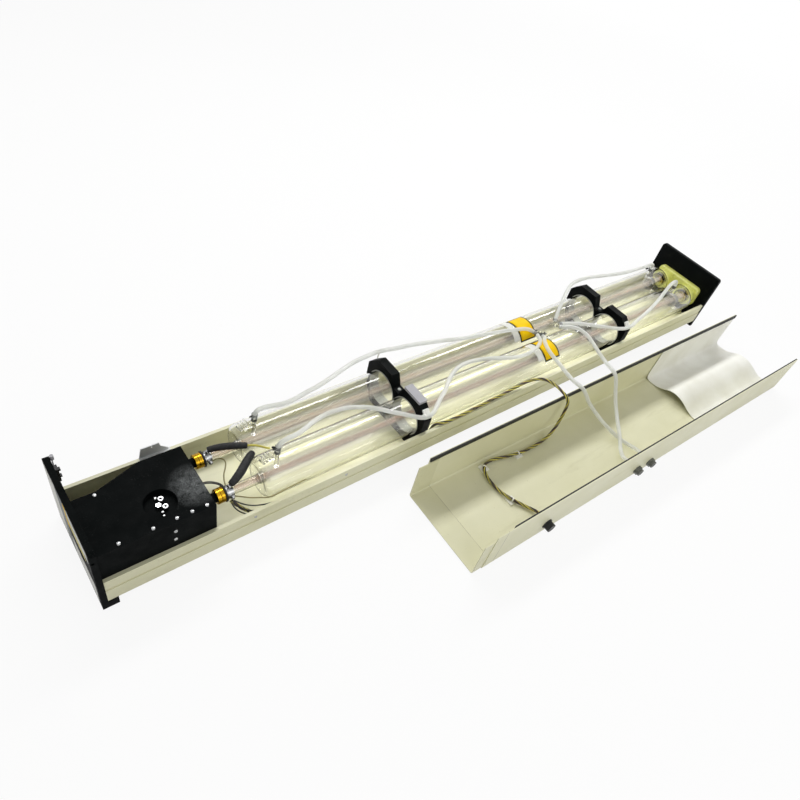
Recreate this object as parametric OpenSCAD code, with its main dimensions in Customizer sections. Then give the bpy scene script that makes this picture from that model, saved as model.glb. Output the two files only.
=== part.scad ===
// Twin-tube CO2 laser module: an open tray between two end plates holds two water-cooled
// glass tubes, joined at the rear by a folding block and at the front by a closed head box.
// The lift-off cover lies open side up beside the tray, still joined by hoses and a wiring harness.
// X runs along the tray from the front plate's inner face, Y is across, Z is up from the ground.

/* [Tray] */
// Length of the tray between the end plates
tray_len = 1688; // [1500:1:2100]
// Width of the tray and of the end plates
tray_w = 200; // [196:1:260]
// Height of the tray walls' top edge above the ground
wall_top = 75; // [64:1:78]
// Thickness of the tray's sheet
tray_sheet = 2; // [1.5:0.5:3]
// Height of the inward step in the tray walls
step_z = 50; // [40:1:58]
// Depth of the inward step in the tray walls
step_in = 1.5; // [0.5:0.5:1.5]
// Width of the lip along each wall's top edge
lip_w = 8; // [5:0.5:10]

/* [End plates and feet] */
// Thickness of the end plates
plate_t = 10; // [6:1:16]
// Height of the end plates
plate_h = 164; // [150:1:200]
// Corner radius at the top of the end plates
plate_corner = 8; // [2:1:14]
// Height of the feet under the tray
foot_h = 18; // [10:1:24]
// How far each foot reaches under the tray
foot_reach = 16; // [10:1:60]
// Radius of the beam port in the front plate
beam_port_r = 10; // [6:0.5:14]
// Radius of the fixing hole in the front plate's side edge
edge_hole_r = 2.5; // [1.5:0.5:3]

/* [Laser tubes] */
// Outer radius of the glass jackets
jacket_r = 40; // [30:0.5:41]
// Wall of the glass jackets
jacket_wall = 2.4; // [1.6:0.2:4]
// Gap between the two jackets
tube_gap = 4; // [3:0.5:8]
// Height of the jackets' undersides above the tray floor
under_tube = 22; // [18:1:30]
// Distance from the front plate to the jackets' front ends
jacket_x0 = 285; // [270:1:320]
// Rounding of the jackets' shoulders
shoulder_r = 15; // [8:1:18]
// Outer radius of the front necks
neck_r = 9; // [8:0.5:10]
// Outer radius of the rear necks
rear_neck_r = 20; // [17:0.5:21]
// Outer radius of the cooling-water tubes
water_r = 15; // [13:0.5:16]
// Outer radius of the discharge bores
bore_r = 7; // [5:0.5:7]
// Wall of the inner tubes
inner_wall = 1.8; // [1.2:0.2:2]
// Radius of the water nipples
nipple_r = 4; // [3:0.5:5]
// Height of the water nipples above the tube axis
nipple_h = 62; // [50:1:70]
// Distance from the front plate to the front nipples
nipple_x0 = 322; // [312:1:360]
// Distance from the rear plate to the rear nipples
nipple_back = 128; // [110:1:200]

/* [Tube clamps] */
// Length of the clamps along the tubes
clamp_len = 20; // [12:1:40]
// Distance from the front plate to the front clamp
clamp_x1 = 619; // [500:1:700]
// Distance from the rear plate to the rear clamp's front face
clamp_back = 404; // [300:1:500]
// Thickness of the clamp over the jackets
clamp_over = 17; // [10:1:24]
// Thickness of the clamp outside the jackets
clamp_side = 11.5; // [8:0.5:16]
// Thickness of the rubber liners
liner_t = 1.8; // [1:0.2:3]

/* [Head box] */
// Length of the head box
box_len = 185; // [170:1:196]
// Height of the head box's top above the ground
box_top = 141; // [134:1:150]
// Length of the head box's front lid
front_lid_len = 114; // [90:1:130]
// Thickness of the head box's sheet
box_sheet = 1.5; // [1:0.5:3]
// Distance of the head box's near wall from the centre line
box_near = 92; // [80:1:92]
// Distance of the head box's far wall from the centre line
box_far = 42; // [30:1:50]
// Distance of the far wall from the centre line beside the front plate
box_far_front = 17; // [8:1:28]
// Radius of the adjuster well
well_r = 26; // [22:1:30]
// Depth of the adjuster well
well_depth = 10; // [4:1:20]

/* [Brass couplings] */
// Radius of the brass couplings
brass_r = 14; // [11:0.5:16]
// Length of the brass couplings
brass_len = 15; // [10:1:30]
// Gap between the head box and the brass couplings
brass_gap = 21; // [10:1:24]

/* [Rear block] */
// Half width of the rear block
block_half = 70; // [66:1:90]
// Height of the rear block
block_h = 59; // [50:1:70]
// Thickness of the rear block
block_t = 14; // [10:1:20]
// Outer radius of the bosses
boss_r = 27; // [24:0.5:29]
// Length of the bosses, from the rear plate
boss_len = 33; // [24:1:40]

/* [Cover] */
// Length of the cover's shell with its lap strip
cover_len = 1138; // [1000:1:1400]
// Height of the cover's walls
cover_h = 108; // [90:1:130]
// Thickness of the cover's sheet
cover_sheet = 1.5; // [1:0.5:2.5]
// Bend radius of the cover's lower edges
cover_bend = 6; // [3:1:10]
// How far the lap strip stands out of the shell
lap_out = 24; // [10:1:40]
// Length of the lap strip inside the shell
lap_in = 26; // [15:1:60]
// Height of the lap strip's walls
lap_h = 92; // [60:1:104]
// Height of the edge trims
trim_h = 10; // [6:1:16]
// Thickness of the edge trims
trim_t = 3; // [2:0.5:4]
// Thickness of the liner sheet
sheet_t = 1; // [0.5:0.1:2]

/* [Hoses and wiring] */
// Outer diameter of the water hoses
hose_d = 9; // [6:0.5:9]
// Diameter of the wiring harness
harness_d = 7; // [4:0.5:8]
// Diameter of the high-voltage lead sleeves
sleeve_d = 14; // [8:1:15]
// Inner radius of the hose ports in the cover's wall
port_r = 4.1; // [3:0.1:5]
// Depth of the hose ports
port_depth = 12; // [8:1:14]

/* [Hidden] */
$fn = 48;
cut = 1;
fit_gap = 0.2;
half_w = tray_w / 2;
floor_z = foot_h + tray_sheet;
lip_in = half_w - lip_w;
tube_y = jacket_r + tube_gap / 2;
tube_z = floor_z + under_tube + jacket_r;
jacket_x1 = tray_len - 46;
neck_x0 = brass_x1() + 16;
nipple_x1 = tray_len - nipple_back;
nipple_top = tube_z + nipple_h;
clamp_x2 = tray_len - clamp_back;
clamp_r = jacket_r + liner_t + fit_gap;
clamp_top = tube_z + clamp_r + clamp_over;
clamp_y = tube_y + clamp_r + clamp_side;
clamp_bevel = 25;
valley_y = 9;
valley_z = tube_z + 33;
clamp_foot_y = 66;
web_y = 4;
web_z = 12;
side_screw_y = tube_y + clamp_r + 3.6;
shoulder_z = clamp_top - clamp_bevel + clamp_y - side_screw_y - 2.5;
clamp_in_y = lip_in - 0.8;
lid_z = box_top - box_sheet;
well_x = front_lid_len - 1;
well_y = -48;
well_floor_z = box_top - well_depth;
bay_y = 60;
bay_top = 105;
bay_x0 = 130;
block_z0 = tube_z - block_h / 2 + 1.5;
block_x0 = tray_len - block_t;
boss_x0 = tray_len - boss_len;
rear_neck_x1 = block_x0 + 2;
cover_x = 552.5;
cover_gap = 66.8;
cover_y = -half_w - cover_gap - tray_w;
cover_turn = -1;
port_u = [486, 534];
port_z = 26;
connector_u = 188;
connector_z = 32;

// Points of each route, in millimetres
FAR_FRONT_ROUTE = [[322, 42, 144], [322, 42, 148], [323.5, 42, 154], [328, 42, 159], [335, 41.5, 161],
    [344, 41, 161], [358, 39, 160], [378, 37, 158], [402, 38, 158], [425, 41, 160], [450, 44, 161],
    [476, 49, 162], [516, 60, 162], [556, 71, 160], [590, 76, 158], [614, 78, 157], [638, 75, 158],
    [662, 70, 158], [696, 65, 158], [730, 59, 156], [782, 50, 152], [834, 42, 146], [882, 38, 140],
    [928, 34, 135], [970, 30, 130], [1002, 26, 125.5], [1024, 22, 122.8], [1038, 17, 119.4],
    [1047, 11, 115.5], [1053.5, 6.5, 114]];
NEAR_FRONT_ROUTE = [[322, -42, 144], [322, -42, 148], [323.5, -42, 154], [328, -41.5, 159],
    [335, -41, 161], [344, -39, 160], [356, -36, 156], [370, -31, 151], [387, -24, 146],
    [408, -15, 142], [428, -8, 138], [448, -3, 134], [473, -1, 130], [498, -4, 128], [518, -12, 127.5],
    [536, -22, 127.5], [552, -35, 127.5], [566, -48, 127], [582, -62, 127], [596, -74, 126],
    [608, -85, 126], [618, -92, 127], [629, -94, 127], [640, -92, 127.5], [652, -86, 127.5],
    [666, -77, 127.5], [684, -66, 128], [705, -54, 128], [722, -42, 128], [736, -32, 128],
    [760, -19, 127], [787, -10, 126], [810, -9, 126], [832, -12, 126], [854, -18, 126.5],
    [876, -26, 127], [900, -37, 127.5], [924, -45, 127], [950, -49, 127], [977, -48, 127],
    [996, -44, 127], [1012, -38, 126.5], [1025, -30, 125.5], [1035, -20, 122], [1042, -10, 118.5],
    [1047, -4.5, 116.5], [1052.5, -2, 115]];
FAR_REAR_ROUTE = [[1130, 13, 116], [1134, 17, 118.5], [1139.5, 21.5, 124], [1147, 27, 130],
    [1160, 35, 139], [1178, 46, 150], [1198, 57, 158], [1222, 67, 164], [1247, 71, 166],
    [1288, 71, 165], [1328, 67, 162], [1378, 60, 158], [1427, 53, 156], [1478, 47, 157],
    [1516, 43.5, 160], [1538, 42, 161], [1547, 42, 161], [1554, 42, 158.5], [1558.5, 42, 154],
    [1560, 42, 148], [1560, 42, 144]];
NEAR_REAR_ROUTE = [[1133, 3, 115], [1138, 1.5, 116], [1146, -3.5, 118], [1158, -11, 120.5],
    [1171, -21, 123.5], [1184, -33, 126.5], [1198, -44, 127.5], [1214, -55, 127], [1234, -67, 126],
    [1252, -78, 125], [1268, -87, 125], [1280, -92, 126], [1294, -94, 127], [1308, -93, 127],
    [1330, -88, 127], [1370, -80, 127], [1420, -70, 130], [1470, -58, 139], [1506, -48, 151],
    [1528, -43, 159], [1540, -42, 161], [1549, -42, 160.5], [1555, -42, 157.5], [1559, -42, 152],
    [1560, -42, 148], [1560, -42, 144]];
INLET_ROUTE = [[1058, -9, 116], [1055, -14, 118], [1048, -21, 124], [1040, -28, 129], [1030, -36, 132],
    [1022, -48, 132], [1017, -62, 130], [1015, -77, 127], [1015, -92, 124], [1015, -108, 121],
    [1014, -124, 118], [1013, -140, 116], [1012, -156, 115], [1012, -168, 115.5], [1014, -177, 114.5],
    [1017, -185, 111], [1021, -191, 104], [1027, -196, 94], [1036, -202, 79], [1048, -213, 62],
    [1060, -228, 46], [1071, -245, 32], [1080, -262, 22], [1088, -278, 14], [1095, -294, 9],
    [1100, -310, 8], [1101, -324, 11], [1097, -337, 17], [1090, -347, 23.5], [1086.5, -356, 26],
    [1086.5, -366.5, 26]];
OUTLET_ROUTE = [[1127, -5, 116], [1129.5, -10, 117.5], [1134.5, -17, 121.5], [1142, -26, 126],
    [1150, -38, 128.5], [1155, -54, 128.5], [1155, -72, 127.5], [1151, -90, 125], [1147, -108, 122],
    [1143, -126, 119], [1139, -144, 116.5], [1136, -160, 115.5], [1134, -172, 115.5],
    [1133, -181, 113.5], [1132, -189, 109], [1131, -196, 101], [1129, -204, 89], [1126, -215, 73],
    [1122, -228, 57], [1117, -242, 44], [1110, -257, 33], [1101, -272, 26], [1090, -287, 21],
    [1078, -301, 16.5], [1066, -314, 13], [1054, -327, 14], [1045, -338, 19], [1040, -348, 24],
    [1038, -357, 26], [1038.5, -365.5, 26]];
HARNESS_ROUTE = [[229, -55, 72], [237, -62, 62], [248, -71, 52], [262, -81, 46], [280, -88, 43],
    [302, -91.5, 41], [340, -92, 40], [380, -92, 40], [420, -92, 40], [460, -92, 40], [500, -92, 40],
    [540, -92, 40], [580, -92, 40], [608, -92, 40], [628, -91, 40], [642, -89, 43], [651, -87.5, 51],
    [657, -87.5, 61], [662, -87, 71], [668, -88.5, 78], [680, -93, 79.5], [704, -95.5, 79.5],
    [735, -95, 79.5], [767, -94, 79.5], [800, -93, 79.5], [834, -92, 79.5], [870, -91, 80],
    [904, -91, 83], [928, -93, 88], [948, -99, 94], [960, -110, 101], [965, -124, 106],
    [965, -140, 110], [963, -154, 113], [961, -165, 114], [960, -174, 114], [961, -182, 111],
    [963, -188, 104], [965, -191, 94], [966, -192, 81], [966, -193, 66], [962, -195, 48],
    [953, -198, 31], [939, -201, 17], [918, -203, 9], [894, -204, 7], [864, -204, 7.5],
    [845, -203, 8.5], [826, -200, 8.5], [806, -195, 7], [784, -189, 6.5], [764, -186, 7],
    [748, -188, 8.5], [737, -196, 8.5], [730, -210, 7.5], [727, -228, 6.5], [727, -246, 6.5],
    [729, -262, 7.5], [733, -277, 8.5], [739, -291, 8.5], [748, -306, 7], [756, -320, 7],
    [760, -333, 10], [757, -342, 17], [751, -346.5, 24], [745, -350, 29.5], [741, -355, 32],
    [740.5, -361, 32]];
FAR_SLEEVE_ROUTE = [[232, 41.5, 103], [246, 36, 107], [262, 28, 111], [278, 18, 114.5],
    [292, 9.5, 116.5]];
YELLOW_LEAD = [[292.4, 9, 116.7], [298, 6, 117.5], [306, 1, 117.5], [313, -5, 117], [319, -10, 116], [324, -14, 115.6]];
TERMINAL_LEAD = [[236, 29.5, 83], [243, 27, 88], [250, 21, 90], [252, 13, 89], [248, 5, 86], [241, -4, 83],
    [236, -14, 82], [233, -23, 82], [232, -29, 82]];
SIDE_LEAD = [[236, -54.5, 81], [246, -60, 79], [258, -68, 78], [272, -75, 77], [288, -82.5, 77], [304, -83.8, 79],
    [320, -84, 81], [340, -84, 83], [360, -84, 84]];
BOX_LEAD = [[185.5, -8, 80], [191, -8, 84], [200, -9, 88], [210, -13, 89], [218, -18, 88], [224, -23, 86], [227.5, -28.2, 84]];
NEAR_SLEEVE_ROUTE = [[233, -44, 103], [244, -40, 107], [257, -33, 110], [270, -23, 111],
    [284, -12, 111], [295, -5, 111]];

// Points along a quarter of a circle of radius r about c, from angle a to angle b
function arc(c, r, a, b, n = 6) = [for (i = [0:n]) c + r * [cos(a + (b - a) * i / n), sin(a + (b - a) * i / n)]];
function last(p) = p[len(p) - 1];
function mirrored(p) = [for (i = [len(p) - 1:-1:0]) [-p[i][0], p[i][1]]];
function brass_x0() = box_len + brass_gap;
function brass_x1() = brass_x0() + brass_len;

// A round-sectioned tube swept along a route, with its rings carried round each bend untwisted
function unit(v) = v / norm(v);
function heading(p, i) = unit(p[min(i + 1, len(p) - 1)] - p[max(i - 1, 0)]);
function first_side(t) = unit(cross(t, abs(t[2]) < 0.9 ? [0, 0, 1] : [0, 1, 0]));
function carried(p, i, u) = i == len(p) ? [] :
    let (t = heading(p, i), v = unit(u - (u * t) * t)) concat([v], carried(p, i + 1, v));
function ring(c, t, u, r, n) = [for (k = [0:n - 1]) c + r * (cos(360 * k / n) * u + sin(360 * k / n) * cross(t, u))];

module swept(p, d, n = 8) {
    sides = carried(p, 0, first_side(heading(p, 0)));
    points = [for (i = [0:len(p) - 1]) each ring(p[i], heading(p, i), sides[i], d / 2, n)];
    skin = [for (i = [0:len(p) - 2], k = [0:n - 1]) let (a = i * n + k, b = i * n + (k + 1) % n)
        each [[a, a + n, b + n], [a, b + n, b]]];
    start = [for (k = [0:n - 1]) k];
    end = [for (k = [n - 1:-1:0]) (len(p) - 1) * n + k];
    polyhedron(points = points, faces = concat(skin, [start, end]));
}

// A profile in Y and Z, run along X
module along_x(x, length) {
    translate([x, 0, 0]) rotate([90, 0, 90]) linear_extrude(length) children();
}

// A cylinder along X
module rod_x(x, y, z, r, length) {
    translate([x, y, z]) rotate([0, 90, 0]) cylinder(r = r, h = length);
}

module at_cover() {
    translate([cover_x, cover_y, 0]) rotate([0, 0, cover_turn]) children();
}

// ---- Tray, plates and feet ----
tray_half = concat(
    arc([half_w - 3, foot_h + 3], 3, -90, 0, 4),
    [[half_w, step_z], [half_w - step_in, step_z], [half_w - step_in, wall_top], [lip_in, wall_top],
        [lip_in, wall_top - tray_sheet], [half_w - step_in - tray_sheet, wall_top - tray_sheet],
        [half_w - step_in - tray_sheet, step_z - tray_sheet], [half_w - tray_sheet, step_z - tray_sheet]],
    arc([half_w - 3, foot_h + 3], 3 - tray_sheet, 0, -90, 4));

module base_tray() {
    color([0.80, 0.78, 0.66])
    along_x(0, tray_len)
        polygon(concat(tray_half, mirrored(tray_half)));
}

plate_half = concat([[half_w, 0]], arc([half_w - plate_corner, plate_h - plate_corner], plate_corner, 0, 90, 8));

module plate_outline() {
    polygon(concat(plate_half, mirrored(plate_half)));
}

module front_plate() {
    color([0.05, 0.05, 0.06])
    difference() {
        along_x(-plate_t, plate_t) plate_outline();
        rod_x(-plate_t - cut, -tube_y, tube_z, beam_port_r, plate_t + 2 * cut);
        translate([-plate_t / 2 - 1.5, -half_w - cut, plate_h - 24])
            rotate([-90, 0, 0]) cylinder(r = edge_hole_r, h = 12 + cut, $fn = 24);
    }
}

module rear_plate() {
    color([0.05, 0.05, 0.06])
    along_x(tray_len, plate_t) plate_outline();
}

module foot(x) {
    color([0.05, 0.05, 0.06])
    translate([x, -half_w, 0]) cube([foot_reach, tray_w, foot_h]);
}

module front_foot() { foot(0); }

module wall_screws() {
    color([0.75, 0.75, 0.72])
    for (x = [253, 441], side = [-1, 1])
        translate([x, side * (half_w - step_in), (step_z + wall_top) / 2])
            rotate([-side * 90, 0, 0]) cylinder(r1 = 3, r2 = 2, h = 1.2, $fn = 24);
}

// ---- Head box ----
box_outline = [[0, -box_near], [box_len, -box_near], [box_len, box_far], [front_lid_len, box_far],
    [38, box_far_front], [0, box_far_front]];
box_inside = [[-cut, -box_near + box_sheet], [box_len - box_sheet, -box_near + box_sheet],
    [box_len - box_sheet, box_far - box_sheet], [front_lid_len + 0.3, box_far - box_sheet],
    [38.3, box_far_front - box_sheet], [-cut, box_far_front - box_sheet]];
screw_y = box_near - 6;
lid_screw_x0 = front_lid_len + 9;
lid_screw_x1 = box_len - 13;
screw_spots = [[35, -screw_y], [86, -screw_y], [lid_screw_x0, -screw_y], [(lid_screw_x0 + lid_screw_x1) / 2, -screw_y],
    [lid_screw_x1, -screw_y], [35, box_far_front - 6]];
side_screw_spots = [[117, 118], [116, 96]];

module box_walls() {
    translate([0, 0, floor_z]) linear_extrude(lid_z - floor_z)
        difference() {
            polygon(box_outline);
            polygon(box_inside);
        }
    // Flanges that the lids screw to
    translate([0, -box_near + box_sheet, lid_z - 2 * box_sheet]) cube([box_len - box_sheet, 10, 2 * box_sheet]);
    translate([20, 5, lid_z - 2 * box_sheet]) cube([26, box_far_front - box_sheet - 5, 2 * box_sheet]);
}

module side_bay() {
    difference() {
        translate([bay_x0, box_far, floor_z]) cube([box_len - bay_x0, bay_y - box_far, bay_top - floor_z]);
        translate([bay_x0 + box_sheet, box_far - cut, floor_z - cut])
            cube([box_len - bay_x0 - 2 * box_sheet, bay_y - box_far + cut - box_sheet, bay_top - floor_z + cut - box_sheet]);
    }
}

module head_box_body() {
    color([0.06, 0.06, 0.07])
    difference() {
        union() {
            box_walls();
            side_bay();
        }
        translate([bay_x0 + box_sheet, box_far - box_sheet - cut, floor_z + 4])
            cube([box_len - bay_x0 - 2 * box_sheet, box_sheet + 2 * cut, bay_top - floor_z - 4 - box_sheet]);
        for (side = [-1, 1]) rod_x(box_len - box_sheet - cut, side * tube_y, tube_z, neck_r + fit_gap, box_sheet + 2 * cut);
        for (s = screw_spots) translate([s[0], s[1], lid_z - 3 * box_sheet]) cylinder(r = 1.7, h = 4 * box_sheet, $fn = 16);
        for (s = side_screw_spots)
            translate([s[0], -box_near - cut, s[1]]) rotate([-90, 0, 0]) cylinder(r = 1.7, h = 4, $fn = 16);
    }
}

module lid(x0, x1) {
    color([0.06, 0.06, 0.07])
    difference() {
        translate([0, 0, lid_z]) linear_extrude(box_sheet)
            intersection() {
                polygon(box_outline);
                translate([x0, -half_w]) square([x1 - x0, tray_w]);
            }
        translate([well_x, well_y, lid_z - cut]) cylinder(r = well_r, h = box_sheet + 2 * cut, $fn = 96);
        for (s = screw_spots) translate([s[0], s[1], lid_z - cut]) cylinder(r = 1.7, h = box_sheet + 2 * cut, $fn = 16);
    }
}

module head_box_front_lid() { lid(0, front_lid_len); }
module head_box_rear_lid() { lid(front_lid_len, box_len); }

module adjuster_well() {
    color([0.05, 0.05, 0.06])
    translate([well_x, well_y, 0])
    difference() {
        union() {
            translate([0, 0, well_floor_z - 3]) cylinder(r = well_r + 2, h = lid_z - well_floor_z + 3, $fn = 96);
            translate([0, 0, lid_z - 2]) cylinder(r = well_r + 5, h = 2, $fn = 96);
        }
        translate([0, 0, well_floor_z]) cylinder(r = well_r, h = well_depth + cut, $fn = 96);
    }
}

module adjuster_nuts() {
    color([0.85, 0.85, 0.86])
    for (p = [[117, -38.4], [118, -54.7]])
        translate([p[0], p[1], well_floor_z])
            rotate_extrude($fn = 48)
                polygon([[1.6, 0], [4.2, 0], [4.6, 0.8], [4.6, 6.2], [4, 7], [2.4, 7], [1.6, 5.6]]);
}

module adjuster_knob() {
    color([0.85, 0.85, 0.86])
    translate([109.5, -48, well_floor_z])
    difference() {
        union() {
            cylinder(r = 3.2, h = 7);
            for (a = [0:60:300]) rotate([0, 0, a]) translate([3.4, 0, 0]) cylinder(r = 1.3, h = 6.4, $fn = 24);
        }
        translate([0, 0, 5]) cylinder(r = 1.4, h = 3, $fn = 24);
    }
}

module pan_screw(shank) {
    rotate_extrude($fn = 32) polygon([[0, -shank], [1.6, -shank], [1.6, 0], [3.2, 0], [3.2, 0.8], [2.6, 1.8], [0.6, 2.2], [0, 2.2]]);
}

module adjuster_screws() {
    color([0.85, 0.85, 0.86])
    for (p = [[110.8, -32], [110.8, -61], [109.9, -68.4]])
        translate([p[0], p[1], well_floor_z])
            rotate_extrude($fn = 32) polygon([[0, 0], [2.4, 0], [2.4, 3.4], [1.6, 4.4], [0, 4.6]]);
}

module box_screws() {
    color([0.85, 0.85, 0.86]) {
        for (s = screw_spots) translate([s[0], s[1], box_top]) pan_screw(4);
        for (s = side_screw_spots) translate([s[0], -box_near, s[1]]) rotate([90, 0, 0]) pan_screw(2.5);
    }
}

// ---- Couplings between the head box and the tubes ----
module mirror_necks() {
    color([0.12, 0.12, 0.13])
    for (side = [-1, 1])
        difference() {
            union() {
                rod_x(box_len - 14, side * tube_y, tube_z, neck_r, brass_x0() - box_len + 14);
                rod_x(box_len, side * tube_y, tube_z, neck_r + 3, 4);
            }
            rod_x(box_len - 14 - cut, side * tube_y, tube_z, neck_r - 3, brass_gap + 14 + 2 * cut);
        }
}

module brass_coupling(side) {
    color([0.83, 0.66, 0.22])
    translate([brass_x0(), side * tube_y, tube_z]) rotate([0, 90, 0])
        rotate_extrude($fn = 96)
            polygon([[neck_r - 3, 0], [brass_r - 1, 0], [brass_r, 1], [brass_r, brass_len / 2 - 0.6],
                [brass_r - 0.5, brass_len / 2], [brass_r, brass_len / 2 + 0.6], [brass_r, brass_len - 1],
                [brass_r - 1, brass_len], [neck_r - 3, brass_len]]);
}

module near_brass_coupling() { brass_coupling(-1); }
module far_brass_coupling() { brass_coupling(1); }

module coupling_seals() {
    color([0.04, 0.04, 0.04])
    for (side = [-1, 1])
        translate([brass_x1(), side * tube_y, tube_z]) rotate([0, 90, 0])
            difference() {
                cylinder(r = brass_r + 1.2, h = 3);
                translate([0, 0, -cut]) cylinder(r = neck_r - 3, h = 3 + 2 * cut);
            }
}

module terminal_clamps() {
    color([0.78, 0.78, 0.8])
    for (side = [-1, 1])
        translate([brass_x1() + 3, side * tube_y, tube_z]) rotate([0, 90, 0])
            difference() {
                union() {
                    cylinder(r = 11, h = 13);
                    translate([0, 0, 3]) cylinder(r = 12.5, h = 4);
                    // Terminal posts on top and beside the collar
                    translate([-15, 0, 8]) sphere(r = 4.2, $fn = 32);
                    translate([-13, 0, 8]) rotate([0, 90, 0]) cylinder(r = 2.4, h = 6, $fn = 24);
                    translate([0, -14, 8]) sphere(r = 4, $fn = 32);
                }
                translate([0, 0, -cut]) cylinder(r = neck_r - 3, h = 13 + cut);
            }
}

// ---- Glass tubes ----
// Profiles are pairs of radius and distance along X
function jacket_profile() = let (x0 = jacket_x0, x1 = jacket_x1, r = jacket_r, s = shoulder_r, w = jacket_wall) concat(
    [[neck_r, neck_x0], [neck_r, x0]],
    [for (p = arc([r - s, x0 + s], s, -90, 0, 8)) p],
    [for (p = arc([r - s, x1 - s], s, 0, 90, 8)) p],
    [[rear_neck_r, x1], [rear_neck_r, rear_neck_x1], [rear_neck_r - w, rear_neck_x1], [rear_neck_r - w, x1 - w]],
    [for (p = arc([r - s, x1 - s], s - w, 90, 0, 8)) p],
    [for (p = arc([r - s, x0 + s], s - w, 0, -90, 8)) p],
    [[bore_r + fit_gap, x0 + w], [bore_r + fit_gap, neck_x0]]);

module at_nipples() {
    for (x = [nipple_x0, nipple_x1], side = [-1, 1]) translate([x, side * tube_y, tube_z]) children();
}

module jacket(side) {
    color([0.86, 0.90, 0.90, 0.35])
    difference() {
        translate([0, side * tube_y, tube_z]) rotate([0, 90, 0]) rotate_extrude($fn = 96) polygon(jacket_profile());
        for (x = [nipple_x0, nipple_x1])
            translate([x, side * tube_y, tube_z]) cylinder(r = nipple_r + fit_gap, h = jacket_r + cut, $fn = 32);
    }
}

module near_jacket() { jacket(-1); }
module far_jacket() { jacket(1); }

module water_nipples() {
    color([0.86, 0.90, 0.90, 0.35])
    at_nipples()
        difference() {
            translate([0, 0, water_r + fit_gap]) cylinder(r = nipple_r, h = nipple_h - water_r - fit_gap, $fn = 32);
            translate([0, 0, water_r]) cylinder(r = nipple_r - 1.6, h = nipple_h, $fn = 32);
        }
}

water_x0 = jacket_x0 + 14;
water_x1 = jacket_x1 - 14;
bore_x0 = neck_x0 + 4;
bore_x1 = jacket_x1 + 10;

module water_tube(side) {
    color([0.9, 0.86, 0.8, 0.35])
    translate([0, side * tube_y, tube_z]) rotate([0, 90, 0])
        rotate_extrude($fn = 64)
            polygon([[bore_r + fit_gap, water_x0], [water_r, water_x0], [water_r, water_x1],
                [bore_r + fit_gap, water_x1], [bore_r + fit_gap, water_x1 - inner_wall],
                [water_r - inner_wall, water_x1 - inner_wall], [water_r - inner_wall, water_x0 + inner_wall],
                [bore_r + fit_gap, water_x0 + inner_wall]]);
}

module near_water_tube() { water_tube(-1); }
module far_water_tube() { water_tube(1); }

module bore_tube(side) {
    color([0.85, 0.62, 0.5, 0.5])
    difference() {
        rod_x(bore_x0, side * tube_y, tube_z, bore_r, bore_x1 - bore_x0);
        rod_x(bore_x0 - cut, side * tube_y, tube_z, bore_r - inner_wall, bore_x1 - bore_x0 + 2 * cut);
    }
}

module near_bore_tube() { bore_tube(-1); }
module far_bore_tube() { bore_tube(1); }

// A metal sleeve of radius r round a tube of radius inner
module electrode(x, length, inner, r) {
    for (side = [-1, 1])
        translate([x, side * tube_y, tube_z]) rotate([0, 90, 0])
            rotate_extrude($fn = 64)
                polygon([[inner + fit_gap, 0], [r - 0.8, 0], [r, 0.8], [r, length - 0.8], [r - 0.8, length],
                    [inner + fit_gap, length]]);
}

module cathodes() { color([0.7, 0.7, 0.7]) electrode(jacket_x0 + 4, 6, bore_r, bore_r + 3.2); }
module anodes() { color([0.5, 0.5, 0.48]) electrode(tray_len - 98, 14, water_r, water_r + 2.5); }

// ---- Clamps ----
cap_half = [[clamp_y, tube_z], [clamp_y, clamp_top - clamp_bevel], [clamp_y - clamp_bevel, clamp_top],
    [clamp_y - clamp_bevel - 50, clamp_top], [valley_y, valley_z]];
base_half = [[clamp_foot_y, floor_z], [clamp_foot_y + 4, floor_z + 2], [clamp_in_y, wall_top - 17],
    [clamp_in_y, tube_z]];

module clamp_part(x, half) {
    color([0.05, 0.05, 0.055])
    difference() {
        along_x(x, clamp_len) polygon(concat(half, mirrored(half)));
        for (side = [-1, 1]) rod_x(x - cut, side * tube_y, tube_z, clamp_r, clamp_len + 2 * cut);
        translate([x - cut, -web_y, tube_z - web_z]) cube([clamp_len + 2 * cut, 2 * web_y, 2 * web_z]);
        translate([x + clamp_len / 2, 0, tube_z + web_z]) cylinder(r = 2, h = 60, $fn = 24);
        for (side = [-1, 1]) translate([x + clamp_len / 2, side * side_screw_y, tube_z - 20]) cylinder(r = 2, h = 60, $fn = 24);
    }
}

module front_clamp_base() { clamp_part(clamp_x1, base_half); }
module front_clamp_cap() { clamp_part(clamp_x1, cap_half); }
module rear_clamp_base() { clamp_part(clamp_x2, base_half); }
module rear_clamp_cap() { clamp_part(clamp_x2, cap_half); }

module clamp_liners() {
    color([0.5, 0.52, 0.5])
    for (x = [clamp_x1, clamp_x2], side = [-1, 1])
        difference() {
            rod_x(x - 1, side * tube_y, tube_z, jacket_r + liner_t, clamp_len + 2);
            rod_x(x - 1 - cut, side * tube_y, tube_z, jacket_r + fit_gap, clamp_len + 2 + 2 * cut);
        }
}

module clamp_pad() {
    color([0.72, 0.72, 0.73])
    translate([clamp_x1, -clamp_y + clamp_bevel, clamp_top]) cube([clamp_len, 50, 6]);
}

// The caps are held by a screw in the valley and one through each outer shoulder
module clamp_screws() {
    color([0.7, 0.7, 0.72])
    for (x = [clamp_x1, clamp_x2])
        translate([x + clamp_len / 2, 0, 0]) {
            translate([0, 0, tube_z + web_z + 2]) cylinder(r = 2, h = valley_z - tube_z - web_z - 2, $fn = 24);
            translate([0, 0, valley_z]) cylinder(r1 = 4.2, r2 = 3.4, h = 1.4, $fn = 32);
            for (side = [-1, 1])
                translate([0, side * side_screw_y, tube_z - 20]) cylinder(r = 2, h = shoulder_z - tube_z + 20, $fn = 24);
        }
}

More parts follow.
